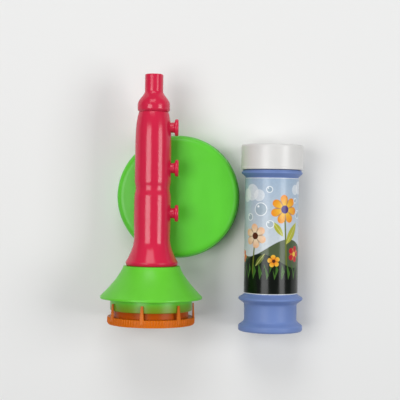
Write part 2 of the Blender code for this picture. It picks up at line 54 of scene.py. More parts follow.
# Dip ring
BAND_HEIGHT = 3.7 * MM
RING_R = 22.1 * MM
BAND_ROOT_R = 21.7 * MM
RING_BORE_R = 17.7 * MM
SLEEVE_R = 18.9 * MM
SLEEVE_TOP = 11.5 * MM
BAND_FILLET = 0.25 * MM
RIB_COUNT = 96
RIB_R = 0.42 * MM
RIB_FOOT = 0.35 * MM
RIB_PROUD = 0.15 * MM
RIB_STRAIGHT_SHARE = 0.3
RIB_TIP_SHARE = 0.02
POST_COUNT = 7
POST_PHASE = math.radians(-9.5)
POST_WIDTH = 2.2 * MM
POST_THICKNESS = 1.2 * MM
POST_TIP_SHARE = 0.55
POST_TOP = 10.6 * MM
POST_ROUND = 0.28 * MM

# Bell, by height above the ring's foot
DRUM_FOOT = 7.0 * MM
DRUM_R = 20.6 * MM
DRUM_WALL = 1.4 * MM
DRUM_ROOT_ROUND = 0.6 * MM
RIM_FOOT = 12.8 * MM
RIM_TOP = 13.8 * MM
RIM_R = 25.8 * MM
RIM_LIP = 0.8 * MM
BELL_TOP = 29.2 * MM
BELL_TOP_R = 14.35 * MM
BELL_WALL = 2.2 * MM
BELL_FLARE = 1.37
NECK_TOP = 45.8 * MM
NECK_R = 7.5 * MM
BELL_BORE_R = 6.2 * MM
BELL_BORE_ROUND = 0.8 * MM

# Tube, by height above the ring's foot
SKIRT_FOOT = 29.5 * MM
SKIRT_SPREAD = 4.15 * MM
SKIRT_ROLL = 1.6 * MM
SKIRT_TUCK = 0.9 * MM
TUBE_LOW_R = 9.1 * MM
BELLY_SWELL = 0.2 * MM
CHEST_DRAW = 0.2 * MM
TAPER_DRAW = 1.6 * MM
TUBE_TOP_R = TUBE_LOW_R + BELLY_SWELL - CHEST_DRAW - TAPER_DRAW
TUBE_WALL = 1.3 * MM
TUBE_LIP = 0.3 * MM
FLARE_LENGTH = 13.3 * MM
BELLY_LENGTH = 11.5 * MM
CHEST_LENGTH = 30.0 * MM
TAPER_LENGTH = 22.65 * MM
TUBE_LENGTH = FLARE_LENGTH + BELLY_LENGTH + CHEST_LENGTH + TAPER_LENGTH
FLARE_POWER = 1.7
TAPER_POWER = 4.0
GROOVE_RISE = 13.9 * MM
GROOVE_LENGTH = 8.6 * MM
GROOVE_DEPTH = 0.6 * MM

# Keys
KEY_STEM_R = 2.6 * MM
KEY_PAD_R = 4.3 * MM
KEY_PAD_THICKNESS = 1.9 * MM
KEY_FILLET = 0.8 * MM
KEY_EDGE_SHARE = 0.42
KEY_DISH = 0.25 * MM
KEY_DISH_SHARE = 0.62
KEY_DISH_SLOPE = 0.8 * MM
KEY_DISH_ROUND = 0.5 * MM

# Mouthpiece, by height above the ring's foot
BEAD_FOOT = 107.25 * MM
BEAD_R = 8.2 * MM
SHOULDER_FOOT = 109.65 * MM
SHOULDER_POWER = 1.3
MOUTH_FOOT = 117.55 * MM
MOUTH_TOP = 126.0 * MM
MOUTH_R = 4.6 * MM
MOUTH_BORE_R = 3.6 * MM
SPIGOT_R = 5.9 * MM
SPIGOT_BORE_R = 4.8 * MM
SPIGOT_LENGTH = 8.0 * MM

# Dish, upside down
DISH_R = 32.15 * MM
DISH_HEIGHT = 15.65 * MM
DISH_FLOOR_R = 31.25 * MM
DISH_LIP_WIDTH = 0.4 * MM
DISH_LIP_HEIGHT = 1.4 * MM
DISH_LIP_ROUND = 0.18 * MM
DISH_WALL = 1.3 * MM
DISH_EDGE_FILLET = 3.6 * MM

# Bottle, by height above its base
FOOT_R = 16.45 * MM
FOOT_HEIGHT = 2.9 * MM
FOOT_ROUND = 1.2 * MM
FOOT_DIMPLE = 1.5 * MM
DIMPLE_ROUND = 0.4 * MM
FOOT_RING = 4.5 * MM
WAIST_R = 13.45 * MM
WAIST_FOOT = 5.1 * MM
WAIST_TOP = 14.0 * MM
WAIST_FOOT_ROUND = 1.2 * MM
WAIST_TOP_ROUND = 0.8 * MM
FLANGE_R = FOOT_R
FLANGE_FOOT = 16.2 * MM
FLANGE_TOP = 17.1 * MM
FLANGE_ROUND = 0.7 * MM
BODY_R = 13.6 * MM
BODY_FOOT = 18.9 * MM
BODY_TOP = 78.8 * MM
BODY_ROUND = 0.5 * MM
BOTTLE_WALL = 1.1 * MM
BOTTLE_INNER_ROUND = 1.0 * MM
BOTTLE_FLOOR = 3.0 * MM
COLLAR_FOOT = 80.6 * MM
COLLAR_TOP = 81.5 * MM
COLLAR_R = 15.6 * MM
CAP_SEAT_TOP = 82.3 * MM
CAP_SEAT_R = 15.1 * MM
CAP_SEAT_ROUND = 0.15 * MM
BOTTLE_NECK_R = 13.2 * MM
BOTTLE_BORE_R = 11.7 * MM
LIP_TOP = 92.3 * MM
LIP_ROUND = 0.5 * MM
THREAD_START = 84.1 * MM
THREAD_PITCH = 3.4 * MM
THREAD_TURNS = 1.75
THREAD_R = 0.85 * MM
THREAD_END_SHARE = 0.05
THREAD_TIP_SHARE = 0.25

# Printed sleeve
LABEL_THICKNESS = 0.09 * MM
LABEL_LAP = 0.03
LABEL_RISE = 0.6
LABEL_FOOT = 19.4 * MM
LABEL_TOP = 78.3 * MM
LABEL_R = BODY_R + LABEL_GAP

# Cap, wad and wand
CAP_R = 16.0 * MM
CAP_FOOT = 82.6 * MM
CAP_TOP = 95.4 * MM
CAP_TOP_ROUND = 1.2 * MM
CAP_FOOT_ROUND = 0.4 * MM
CAP_RIM = 3.0 * MM
CAP_SINK = 0.3 * MM
CAP_BORE_R = 14.4 * MM
ROOF_FOOT = 93.9 * MM
SOCKET_FOOT = 87.9 * MM
SOCKET_BORE_R = 1.8 * MM
SOCKET_R = 3.0 * MM
CAP_BEAD = 1.3 * MM
CAP_BEAD_PROUD = 0.12 * MM
CAP_BEAD_STEP = 0.15 * MM
CAP_BEAD_ROUND = 0.1 * MM
LINER_FOOT = 92.6 * MM
LINER_TOP = 93.6 * MM
WAND_STEM_R = 1.5 * MM
WAND_STEM_ROUND = 0.4 * MM
WAND_TAPER_LENGTH = 6.0 * MM
WAND_TAPER_SHARE = 0.85
WAND_LOOP_MIDDLE = 25.8 * MM
WAND_LOOP_R = 8.2 * MM
WAND_LOOP_WALL = 1.8 * MM
WAND_LOOP_THICKNESS = 3.0 * MM
WAND_TEETH = 36
WAND_TOOTH_R = 0.4 * MM
WAND_TOOTH_PROUD = 0.25 * MM
WAND_TOOTH_SHARE = 0.8

# Edges that many pieces share, and the ridge where mould halves met
FINE_EDGE = 0.2 * MM
SOFT_EDGE = 0.3 * MM
SEAM_RIDGE = 0.05 * MM
SEAM_FACING = 0.3
AT_SEAM = 0.001

# Mesh fineness: sides round an axis, steps along a curve
SIDES = 144
BELL_SIDES = 180
DISH_SIDES = 192
MOUTH_SIDES = 120
KEY_SIDES = 72
WAD_SIDES = 96
LOOP_SIDES = 108
STEM_SIDES = 48
RIB_SIDES = 10
THREAD_SIDES = 12
TOOTH_SIDES = 8
TUBE_ROWS = 120
RIB_STEPS = 7
POST_ROUND_STEPS = 3
THREAD_STEPS = 64
BEAD_STEPS = 8
SHOULDER_STEPS = 28
FLARE_STEPS = 40
BELL_INSIDE_STEPS = 30
DRUM_STEPS = 8
LABEL_STEPS = 200
ARC_STEPS = 6
WELD = 0.0005 * MM
SHARP_ANGLE = math.radians(38)

# Plastic colours, linear RGB
PINK_RED = (0.620, 0.015, 0.058)
LEAF_GREEN = (0.105, 0.600, 0.030)
BELL_GREEN = (0.132, 0.590, 0.032)
ORANGE = (0.640, 0.147, 0.003)
LILAC_BLUE = (0.155, 0.235, 0.500)
WARM_WHITE = (0.690, 0.682, 0.665)
FOAM_GREY = (0.620, 0.620, 0.600)

# Painted shade for the ring's recessed sleeve, painted shade and orange reflection for the drum over it, and
# the mark of both
SLEEVE_SHADE = (0.430, 0.075, 0.001)
DRUM_SHADE_AND_REFLECTION = (0.190, 0.250, 0.006)
PAINTED_SHADE_MARK = "painted_shade"
DRUM_SHADE_FADE = 0.6

# Moulded plastic: sizes of its marks, how they are stretched, and the spans of noise that show
PLASTIC_IOR = 1.5
NOISE_SPAN = (0.3, 0.7)
FLOW_SIZE = 14 * MM
FLOW_STRETCH = (1.0, 0.45, 1.0)
FLOW_DARK = 0.94
FLOW_LIGHT = 1.05
EDGE_SPAN = (0.515, 0.60)
EDGE_WHITE = 0.3
MOTTLE_SIZE = 2.2 * MM
MOTTLE_SPAN = (0.35, 0.6)
MOTTLE_LEAST = 0.4
SCUFF_SIZE = 0.8 * MM
SCUFF_STRETCH = (0.06, 1.6, 1.6)
SCUFF_SPAN = (0.62, 0.76)
SCUFF_DULLING = 0.06
HAZE_SIZE = 8 * MM
HAZE_BELOW = 0.03
HAZE_ABOVE = 0.04
SINK_SIZE = 9 * MM
SINK_DEPTH = 0.25 * MM
GRAIN_SIZE = 0.35 * MM
GRAIN_DEPTH = 0.02 * MM
SKIN_STRENGTH = 0.2

# Foam and printed film, likewise
CELL_SIZE = 0.5 * MM
CELL_DEPTH = 0.12 * MM
CELL_STRENGTH = 0.5
CELL_SPAN = (0.0, 0.7)
CELL_TONES = (0.8, 1.08)
CELL_ROUGHNESS = (0.9, 0.75)
INK_SIZE = 1.2 * MM
INK_TONES = (0.95, 1.03)
FILM_SHINE = 0.24
FILM_ROUGHNESS = (0.16, 0.21)
FILM_HAZE_SIZE = 6 * MM
FILM_SCUFF_SIZE = 0.9 * MM
FILM_SCUFF_STRETCH = (1.4, 0.08, 1.4)
FILM_SCUFF_SPAN = (0.58, 0.75)
RIPPLE_SIZE = 7 * MM
RIPPLE_STRETCH = (1.0, 0.5, 1.0)
RIPPLE_DEPTH = 0.3 * MM
RIPPLE_STRENGTH = 0.3


def middle(node):
    """Middle of a frame node's box."""
    low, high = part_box(node)
    return (low + high) / 2


def lying(node, foot_node):
    """Matrix that lays a shape turned about Z along +Y, on a node's axis, from a second node's low end."""
    axis = middle(node)
    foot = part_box(foot_node)[0].y
    return Matrix.Translation((axis.x, foot, axis.z)) @ Matrix.Rotation(-math.pi / 2, 4, "X")


FLUTE_PLACE = lying("bell", "dip_ring")
BOTTLE_PLACE = lying("bottle", "bottle")
DISH_PLACE = Matrix.Translation((middle("dip_dish").x, middle("dip_dish").y, 0.0))


# Node helpers
def feed(tree, node, values):
    """Set a node's inputs, or link them where a value is a socket."""
    for key, value in values.items():
        if isinstance(value, bpy.types.NodeSocket):
            tree.links.new(value, node.inputs[key])
        else:
            node.inputs[key].default_value = value


def add_node(tree, kind, values=None, **settings):
    """A node with its settings made and its inputs fed."""
    node = tree.nodes.new(kind)
    for key, value in settings.items():
        setattr(node, key, value)
    feed(tree, node, values or {})
    return node


def calc(tree, operation, *values):
    """Result of one Math node."""
    return add_node(tree, "ShaderNodeMath", dict(enumerate(values)), operation=operation).outputs[0]


def shift_range(tree, value, low, high, to_low=0.0, to_high=1.0):
    """A value moved from one range to another, held at the ends."""
    span = {"Value": value, "From Min": low, "From Max": high, "To Min": to_low, "To Max": to_high}
    return add_node(tree, "ShaderNodeMapRange", span).outputs["Result"]


def mix_colour(tree, share, first, second, blend_type="MIX"):
    """Two colours mixed by a share, through the colour sockets among the Mix node's many."""
    values = {0: share, 6: first, 7: second}
    return add_node(tree, "ShaderNodeMix", values, data_type="RGBA", blend_type=blend_type).outputs[2]


def noise(tree, where, size, detail=2.0, stretch=(1.0, 1.0, 1.0)):
    """Noise with features of about a size in metres, stretched along the axes."""
    stretched = add_node(tree, "ShaderNodeMapping", {"Vector": where, "Scale": stretch})
    values = {"Vector": stretched.outputs["Vector"], "Scale": 1.0 / size, "Detail": detail}
    return add_node(tree, "ShaderNodeTexNoise", values).outputs["Fac"]


def bumped(tree, height, strength, distance, **under):
    """Normal of a bump, laid over another Normal where one is given."""
    values = {"Height": height, "Strength": strength, "Distance": distance, **under}
    return add_node(tree, "ShaderNodeBump", values).outputs["Normal"]


def place_on(tree):
    """Place on a piece, in the piece's own coordinates."""
    return add_node(tree, "ShaderNodeTexCoord").outputs["Object"]


def new_finish(name):
    """A new material with its tree and its shader."""
    finish = bpy.data.materials.new(name)
    finish.use_nodes = True
    return finish, finish.node_tree, finish.node_tree.nodes["Principled BSDF"]


def opaque(colour):
    """A colour with full alpha."""
    return (*colour, 1.0)


def scaled(colour, factor):
    """A lighter or darker colour with full alpha."""
    return (*(min(1.0, channel * factor) for channel in colour), 1.0)


def toward_white(colour, share):
    """A colour washed out towards white, with full alpha."""
    return (*(channel + (1.0 - channel) * share for channel in colour), 1.0)


# Materials
def moulded(name, colour, roughness, shine, wear=0.12, painted_tint=None):
    """Moulded plastic: flow marks in its colour, paler edges, scuffs, and a skin with sinks and grain.

    Where a mesh carries the painted-shade mark, its colour is mixed towards a painted tint of shade and
    reflection.
    """
    finish, tree, shader = new_finish(name)
    where = place_on(tree)
    flow = shift_range(tree, noise(tree, where, FLOW_SIZE, detail=3.0, stretch=FLOW_STRETCH), *NOISE_SPAN)
    base = mix_colour(tree, flow, scaled(colour, FLOW_DARK), scaled(colour, FLOW_LIGHT))
    if painted_tint:
        # Painted shade: marked points are mixed towards a darker tint of shade and reflection
        thin = add_node(tree, "ShaderNodeAttribute", attribute_name=PAINTED_SHADE_MARK).outputs["Fac"]
        base = mix_colour(tree, thin, base, opaque(painted_tint))
    point = add_node(tree, "ShaderNodeNewGeometry").outputs["Pointiness"]
    edge = shift_range(tree, point, *EDGE_SPAN, 0.0, wear)
    mottle = shift_range(tree, noise(tree, where, MOTTLE_SIZE), *MOTTLE_SPAN, MOTTLE_LEAST, 1.0)
    rubbed = calc(tree, "MULTIPLY", edge, mottle)
    base = mix_colour(tree, rubbed, base, toward_white(colour, EDGE_WHITE))

    scuff = noise(tree, where, SCUFF_SIZE, detail=3.0, stretch=SCUFF_STRETCH)
    scuffs = shift_range(tree, scuff, *SCUFF_SPAN, 0.0, SCUFF_DULLING)
    dull = (roughness - HAZE_BELOW, roughness + HAZE_ABOVE)
    haze = shift_range(tree, noise(tree, where, HAZE_SIZE), *NOISE_SPAN, *dull)
    sinks = bumped(tree, noise(tree, where, SINK_SIZE, detail=1.0), SKIN_STRENGTH, SINK_DEPTH)
    skin = bumped(tree, noise(tree, where, GRAIN_SIZE), SKIN_STRENGTH, GRAIN_DEPTH, Normal=sinks)
    feed(tree, shader, {"Base Color": base, "Roughness": calc(tree, "ADD", haze, scuffs), "Normal": skin,
                        "IOR": PLASTIC_IOR, "Specular IOR Level": shine})
    return finish


def foamed(name, colour):
    """Soft closed-cell foam."""
    finish, tree, shader = new_finish(name)
    cells = {"Vector": place_on(tree), "Scale": 1.0 / CELL_SIZE}
    depth = add_node(tree, "ShaderNodeTexVoronoi", cells).outputs["Distance"]
    dark, light = (scaled(colour, tone) for tone in CELL_TONES)
    feed(tree, shader, {"Base Color": mix_colour(tree, shift_range(tree, depth, *CELL_SPAN), dark, light),
                        "Roughness": shift_range(tree, depth, *CELL_SPAN, *CELL_ROUGHNESS),
                        "Normal": bumped(tree, depth, CELL_STRENGTH, CELL_DEPTH)})
    return finish


class SleevePrint:
    """A picture laid down in layers of ink, in millimetres round and up the flat sleeve.

    SOFT, SKIN and RIB are half the widths of an edge's blur, a bubble's outline and a leaf's rib. The lower
    PETAL_POWER is, the fuller are the petals.
    """

    SOFT = 0.12
    SKIN = 0.22
    RIB = 0.16
    PETAL_POWER = 0.6
    FOLD_SPAN = (0.2, 0.7)
    FOLD_STRENGTH = 0.55

    def __init__(self, tree, here, paper):
        self.tree = tree
        self.here = here
        split = add_node(tree, "ShaderNodeSeparateXYZ", {"Vector": here})
        self.across = split.outputs["X"]
        self.along = split.outputs["Y"]
        self.ink = paper

    def calc(self, operation, *values):
        """Result of one Math node of the print."""
        return calc(self.tree, operation, *values)

    def within(self, depth):
        """Mask that is 1 where a depth inside a shape is above zero."""
        return shift_range(self.tree, depth, -self.SOFT, self.SOFT)

    def above(self, high, low):
        """Mask that is 1 where one value is above another."""
        return self.within(self.calc("SUBTRACT", high, low))

    def lay(self, mask, colour, strength=1.0):
        """Print a colour through a mask."""
        if strength < 1.0:
            mask = self.calc("MULTIPLY", mask, strength)
        self.ink = mix_colour(self.tree, mask, self.ink, colour)

    def reach(self, x, y):
        """Distance from a spot."""
        values = {0: self.here, 1: (x, y, 0.0)}
        return add_node(self.tree, "ShaderNodeVectorMath", values, operation="DISTANCE").outputs["Value"]

    def disc(self, x, y, radius, colour, strength=1.0):
        """A round spot."""
        self.lay(self.above(radius, self.reach(x, y)), colour, strength)

    def bubble(self, x, y, radius, film, glint):
        """A soap bubble: a thin bright skin, a faint film and a glint."""
        self.disc(x, y, radius, film, strength=0.22)
        off_skin = self.calc("ABSOLUTE", self.calc("SUBTRACT", self.reach(x, y), radius))
        self.lay(self.above(self.SKIN, off_skin), glint, strength=0.75)
        glint_x = x - 0.4 * radius
        glint_y = y + 0.45 * radius
        glint_r = 0.18 * radius
        self.disc(glint_x, glint_y, glint_r, glint, strength=0.9)

    def hill(self, rise, swell, length, phase, colour):
        """A rolling hill that fills the print below it."""
        turn = self.calc("MULTIPLY_ADD", self.across, 2 * math.pi / length, phase)
        line = self.calc("MULTIPLY_ADD", self.calc("SINE", turn), swell, rise)
        self.lay(self.above(line, self.along), colour)

    def grass(self, rise, blade, width, lean, colour):
        """A row of pointed blades that fills the print below it."""
        slanted = self.calc("MULTIPLY_ADD", self.along, lean, self.across)
        saw = self.calc("PINGPONG", slanted, width)
        line = self.calc("MULTIPLY_ADD", saw, blade / width, rise)
        self.lay(self.above(line, self.along), colour)

    def stem(self, x, foot, top, lean, width, colour):
        """A straight stalk that leans."""
        sway = self.calc("MULTIPLY_ADD", self.calc("SUBTRACT", self.along, top), lean, x)
        off = self.calc("ABSOLUTE", self.calc("SUBTRACT", self.across, sway))
        length = self.calc("MULTIPLY", self.above(top, self.along), self.above(self.along, foot))
        self.lay(self.calc("MULTIPLY", self.above(width / 2, off), length), colour)

    def flower(self, x, y, radius, petals, turn, petal_ink, tip_ink, heart_ink):
        """A flower with round petals, tinted to the tips, dark folds between them and a heart."""
        notch_r = 0.58 * radius
        heart_r = 0.28 * radius
        tint_r = 0.3 * radius
        side = self.calc("SUBTRACT", self.across, x)
        up = self.calc("SUBTRACT", self.along, y)
        angle = self.calc("ARCTAN2", up, side)
        wave = self.calc("COSINE", self.calc("MULTIPLY_ADD", angle, petals / 2, turn))
        lobe = self.calc("POWER", self.calc("ABSOLUTE", wave), self.PETAL_POWER)
        edge = self.calc("MULTIPLY_ADD", lobe, radius - notch_r, notch_r)
        reach = self.reach(x, y)
        tint = mix_colour(self.tree, shift_range(self.tree, reach, tint_r, radius), petal_ink, tip_ink)
        fold = shift_range(self.tree, lobe, *self.FOLD_SPAN, self.FOLD_STRENGTH, 0.0)
        self.lay(self.above(edge, reach), mix_colour(self.tree, fold, tint, heart_ink))
        self.disc(x, y, heart_r, heart_ink)

    def leaf(self, x, y, length, width, turn, colour, rib_ink):
        """A pointed leaf with a pale rib along it."""
        side = self.calc("SUBTRACT", self.across, x)
        up = self.calc("SUBTRACT", self.along, y)
        slant = math.tan(turn)
        along = self.calc("MULTIPLY", self.calc("MULTIPLY_ADD", up, slant, side), math.cos(turn))
        across = self.calc("MULTIPLY", self.calc("MULTIPLY_ADD", side, -slant, up), math.cos(turn))
        off = self.calc("ABSOLUTE", across)
        taper = self.calc("MULTIPLY", self.calc("MULTIPLY", along, along), -2 * width / length ** 2)
        depth = self.calc("SUBTRACT", self.calc("ADD", taper, width / 2), off)
        self.lay(self.within(depth), colour)
        rib = self.calc("MINIMUM", self.calc("SUBTRACT", self.RIB, off), depth)
        self.lay(self.within(rib), rib_ink, strength=0.7)


# Inks of the sleeve, linear RGB with full alpha
SKY_LOW = (0.60, 0.65, 0.68, 1.0)
SKY_HIGH = (0.36, 0.47, 0.60, 1.0)
CLOUD = (0.80, 0.83, 0.85, 1.0)
FAR_HILL = (0.075, 0.105, 0.050, 1.0)
NEAR_HILL = (0.008, 0.017, 0.006, 1.0)
NIGHT_GRASS = (0.004, 0.006, 0.004, 1.0)
BRIGHT_GRASS = (0.050, 0.135, 0.020, 1.0)
STALK = (0.130, 0.170, 0.025, 1.0)
LEAF_LIME = (0.420, 0.430, 0.045, 1.0)
LEAF_RIB = (0.700, 0.680, 0.250, 1.0)
PETAL_ORANGE = (0.82, 0.25, 0.020, 1.0)
PETAL_YELLOW = (0.86, 0.52, 0.05, 1.0)
PETAL_PEACH = (0.85, 0.46, 0.25, 1.0)
PETAL_CREAM = (0.85, 0.70, 0.50, 1.0)
PETAL_RED = (0.50, 0.015, 0.025, 1.0)
HEART_PURPLE = (0.075, 0.045, 0.21, 1.0)
HEART_BROWN = (0.090, 0.025, 0.010, 1.0)
BUBBLE_TEAL = (0.030, 0.130, 0.125, 1.0)
BUBBLE_WHITE = (0.92, 0.95, 0.96, 1.0)
PAPER_EDGE = (0.72, 0.76, 0.80, 1.0)

# Where the sky starts to deepen, and the plain margin at both ends, in millimetres up the sleeve
SKY_FOOT = 20.0
MARGIN = 0.35


def printed(name):
    """Glossy film printed all round with a meadow of flowers and soap bubbles."""
    finish, tree, shader = new_finish(name)
    round_mm = 2 * math.pi * LABEL_R / MM
    tall_mm = (LABEL_TOP - LABEL_FOOT) / MM
    unwrapped = add_node(tree, "ShaderNodeUVMap", uv_map="sleeve").outputs["UV"]
    flat = {"Vector": unwrapped, "Scale": (round_mm, tall_mm, 1.0), "Location": (-round_mm / 2, 0.0, 0.0)}
    here = add_node(tree, "ShaderNodeMapping", flat).outputs["Vector"]
    up = add_node(tree, "ShaderNodeSeparateXYZ", {"Vector": here}).outputs["Y"]
    sky = mix_colour(tree, shift_range(tree, up, SKY_FOOT, tall_mm), SKY_LOW, SKY_HIGH)
    picture = SleevePrint(tree, here, sky)

    for x, y, radius in ((-16, 50, 3.4), (-12, 51.5, 4.2), (-7.5, 50, 3.0), (13, 53, 2.6), (17, 54, 3.4),
                         (-35, 44, 4.0), (-40, 45, 3.2), (33, 40, 3.6), (37.5, 41, 4.2)):
        picture.disc(x, y, radius, CLOUD, strength=0.6)
    picture.hill(23.5, 4.5, 44.0, 0.4, FAR_HILL)
    picture.stem(6.0, 8.0, 41.0, -0.05, 0.9, STALK)
    picture.leaf(10.5, 31.0, 13.0, 4.2, 1.0, LEAF_LIME, LEAF_RIB)
    picture.leaf(2.6, 33.0, 9.0, 3.0, 2.2, LEAF_LIME, LEAF_RIB)
    picture.hill(17.0, 3.5, 38.0, 2.6, NEAR_HILL)
    picture.stem(-9.5, 6.0, 30.0, 0.08, 0.8, STALK)
    picture.leaf(-6.6, 17.5, 8.0, 2.6, 0.9, STALK, LEAF_RIB)
    picture.grass(9.5, 6.0, 1.5, 0.18, BRIGHT_GRASS)
    picture.grass(7.5, 6.5, 1.9, -0.12, NIGHT_GRASS)

    picture.flower(6.0, 43.0, 7.4, 7, 0.5, PETAL_YELLOW, PETAL_ORANGE, HEART_PURPLE)
    picture.flower(-9.5, 29.5, 6.2, 6, 1.2, PETAL_CREAM, PETAL_PEACH, HEART_BROWN)
    picture.flower(12.5, 20.5, 4.2, 5, 0.0, PETAL_RED, PETAL_RED, PETAL_YELLOW)
    picture.flower(0.5, 17.0, 3.2, 5, 2.0, PETAL_ORANGE, PETAL_YELLOW, HEART_BROWN)
    picture.flower(-19.5, 19.0, 3.4, 6, 0.3, PETAL_RED, PETAL_ORANGE, PETAL_YELLOW)
    picture.flower(30.0, 27.0, 5.5, 7, 0.9, PETAL_PEACH, PETAL_ORANGE, HEART_PURPLE)
    picture.flower(-32.0, 26.0, 6.0, 6, 0.2, PETAL_YELLOW, PETAL_CREAM, HEART_BROWN)
    for x, y, radius in ((-6.5, 43.0, 3.2), (-13.0, 39.0, 1.7), (15.5, 40.5, 2.0), (-1.5, 35.5, 1.8),
                         (-2.0, 53.0, 1.5), (13.0, 47.5, 1.2), (24.0, 46.0, 2.6), (-26.0, 49.0, 2.2)):
        picture.bubble(x, y, radius, BUBBLE_TEAL, BUBBLE_WHITE)
    for margin in (picture.above(MARGIN, up), picture.above(up, tall_mm - MARGIN)):
        picture.lay(margin, PAPER_EDGE)

    where = place_on(tree)
    tone = shift_range(tree, noise(tree, where, INK_SIZE, detail=3.0), *NOISE_SPAN, *INK_TONES)
    shade = add_node(tree, "ShaderNodeCombineColor", {0: tone, 1: tone, 2: tone}).outputs["Color"]
    scuff = noise(tree, where, FILM_SCUFF_SIZE, detail=3.0, stretch=FILM_SCUFF_STRETCH)
    scuffs = shift_range(tree, scuff, *FILM_SCUFF_SPAN, 0.0, SCUFF_DULLING)
    haze = shift_range(tree, noise(tree, where, FILM_HAZE_SIZE), *NOISE_SPAN, *FILM_ROUGHNESS)
    ripple = noise(tree, where, RIPPLE_SIZE, detail=1.0, stretch=RIPPLE_STRETCH)
    feed(tree, shader, {"Base Color": mix_colour(tree, 1.0, picture.ink, shade, "MULTIPLY"),
                        "Roughness": calc(tree, "ADD", haze, scuffs),
                        "Normal": bumped(tree, ripple, RIPPLE_STRENGTH, RIPPLE_DEPTH),
                        "IOR": PLASTIC_IOR, "Specular IOR Level": FILM_SHINE})
    return finish


# Shape helpers
def ease(share):
    """A smooth step from 0 to 1, level at both ends."""
    return 0.5 - 0.5 * math.cos(math.pi * share)


def eased(low, high, share):
    """A value that eases from low to high."""
    return low + (high - low) * ease(share)


def spread(low, high, steps):
    """Evenly spaced values from low to high, both included."""
    return [low + (high - low) * step / steps for step in range(steps + 1)]


def rounded(corners, all_round=0.0):
    """An outline of (radius, height) points from corners.

    A corner's third value is its own fillet, and all_round is the fillet of the others.
    """
    points = []
    for index, corner in enumerate(corners):
        here = Vector(corner[:2])
        fillet = corner[2] if len(corner) > 2 else all_round
        if not fillet:
            points.append(tuple(here))
            continue
        back = Vector(corners[index - 1][:2]) - here
        ahead = Vector(corners[(index + 1) % len(corners)][:2]) - here
        reach = min(fillet, back.length / 2, ahead.length / 2)
        start = here + back.normalized() * reach
        end = here + ahead.normalized() * reach
        for share in spread(0.0, 1.0, ARC_STEPS):
            bend = start * (1 - share) ** 2 + here * 2 * share * (1 - share) + end * share ** 2
            points.append(tuple(bend))
    return points


def turned(outline, sides=SIDES):
    """A bmesh turned about local Z from an outline, which may start and end on the axis."""
    shape = bmesh.new()
    points = [shape.verts.new((radius, 0.0, height)) for radius, height in outline]
    pairs = list(zip(points, points[1:]))
    if outline[0][0] > WELD or outline[-1][0] > WELD:
        pairs.append((points[-1], points[0]))
    edges = [shape.edges.new(pair) for pair in pairs]
    bmesh.ops.spin(shape, geom=points + edges, cent=(0, 0, 0), axis=(0, 0, 1), dvec=(0, 0, 0),
                   angle=2 * math.pi, steps=sides, use_merge=True, use_duplicate=False)
    bmesh.ops.remove_doubles(shape, verts=shape.verts, dist=WELD)
    bmesh.ops.recalc_face_normals(shape, faces=shape.faces)
    return shape


def raise_seam(shape, widest):
    """A fine parting line on both sides of a turned shape, where the mould halves met."""
    shape.normal_update()
    for point in shape.verts:
        radius = math.hypot(point.co.x, point.co.y)
        on_seam = abs(point.co.y) < WELD and radius > WELD
        faces_out = point.normal.x * point.co.x > SEAM_FACING * radius
        if on_seam and faces_out:
            point.co.x *= min(widest, radius + SEAM_RIDGE) / radius


def keep(name, mesh, place, finish, body, slot, *nodes):
    """Make a mesh a finished piece: put it in place, give it its finish and tie it to the frame."""
    mesh.name = name
    mesh.transform(place)
    mesh.materials.clear()
    mesh.materials.append(finish)
    mesh.shade_smooth()
    mesh.set_sharp_from_angle(angle=SHARP_ANGLE)
    piece = bpy.data.objects.new(name, mesh)
    bpy.context.collection.objects.link(piece)
    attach(piece, body)
    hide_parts(*nodes)


def to_mesh(shape):
    """A plain mesh from a bmesh."""
    mesh = bpy.data.meshes.new("shape")
    shape.to_mesh(mesh)
    shape.free()
    return mesh


def mark_painted_shade(mesh, share_at):
    """Store on a mesh how much painted shade each point takes, from 0 to 1, by its radius and height."""
    layer = mesh.attributes.new(PAINTED_SHADE_MARK, "FLOAT", "POINT")
    for point, mark in zip(mesh.vertices, layer.data):
        mark.value = share_at(math.hypot(point.co.x, point.co.y), point.co.z)


def facing_out(mesh):
    """A closed mesh with its faces turned outwards."""
    shape = bmesh.new()
    shape.from_mesh(mesh)
    bmesh.ops.recalc_face_normals(shape, faces=shape.faces)
    shape.to_mesh(mesh)
    shape.free()
    return mesh


# Geometry node trees
def new_tree(name, sizes):
    """An empty tree that takes a mesh and named sizes, and its input and output sockets."""
    tree = bpy.data.node_groups.new(name, "GeometryNodeTree")
    tree.interface.new_socket("Geometry", in_out="INPUT", socket_type="NodeSocketGeometry")
    for label, size in sizes.items():
        kind = "NodeSocketInt" if isinstance(size, int) else "NodeSocketFloat"
        tree.interface.new_socket(label, in_out="INPUT", socket_type=kind)
    tree.interface.new_socket("Geometry", in_out="OUTPUT", socket_type="NodeSocketGeometry")
    return tree, add_node(tree, "NodeGroupInput").outputs, add_node(tree, "NodeGroupOutput").inputs


def end_tree(tree, out, finish, *shapes):
    """Join what a tree made, make it real and give it its finish."""
    joined = add_node(tree, "GeometryNodeJoinGeometry")
    for shape in shapes:
        tree.links.new(shape, joined.inputs["Geometry"])
    real = add_node(tree, "GeometryNodeRealizeInstances", {"Geometry": joined.outputs["Geometry"]})
    done = {"Geometry": real.outputs["Geometry"], "Material": finish}
    tree.links.new(add_node(tree, "GeometryNodeSetMaterial", done).outputs["Geometry"], out["Geometry"])


def vector(tree, **parts):
    """A vector from its X, Y and Z."""
    return add_node(tree, "ShaderNodeCombineXYZ", parts).outputs["Vector"]


def round_section(tree, sides, radius):
    """A circle to sweep along a path."""
    values = {"Resolution": sides, "Radius": radius}
    return add_node(tree, "GeometryNodeCurvePrimitiveCircle", values).outputs["Curve"]


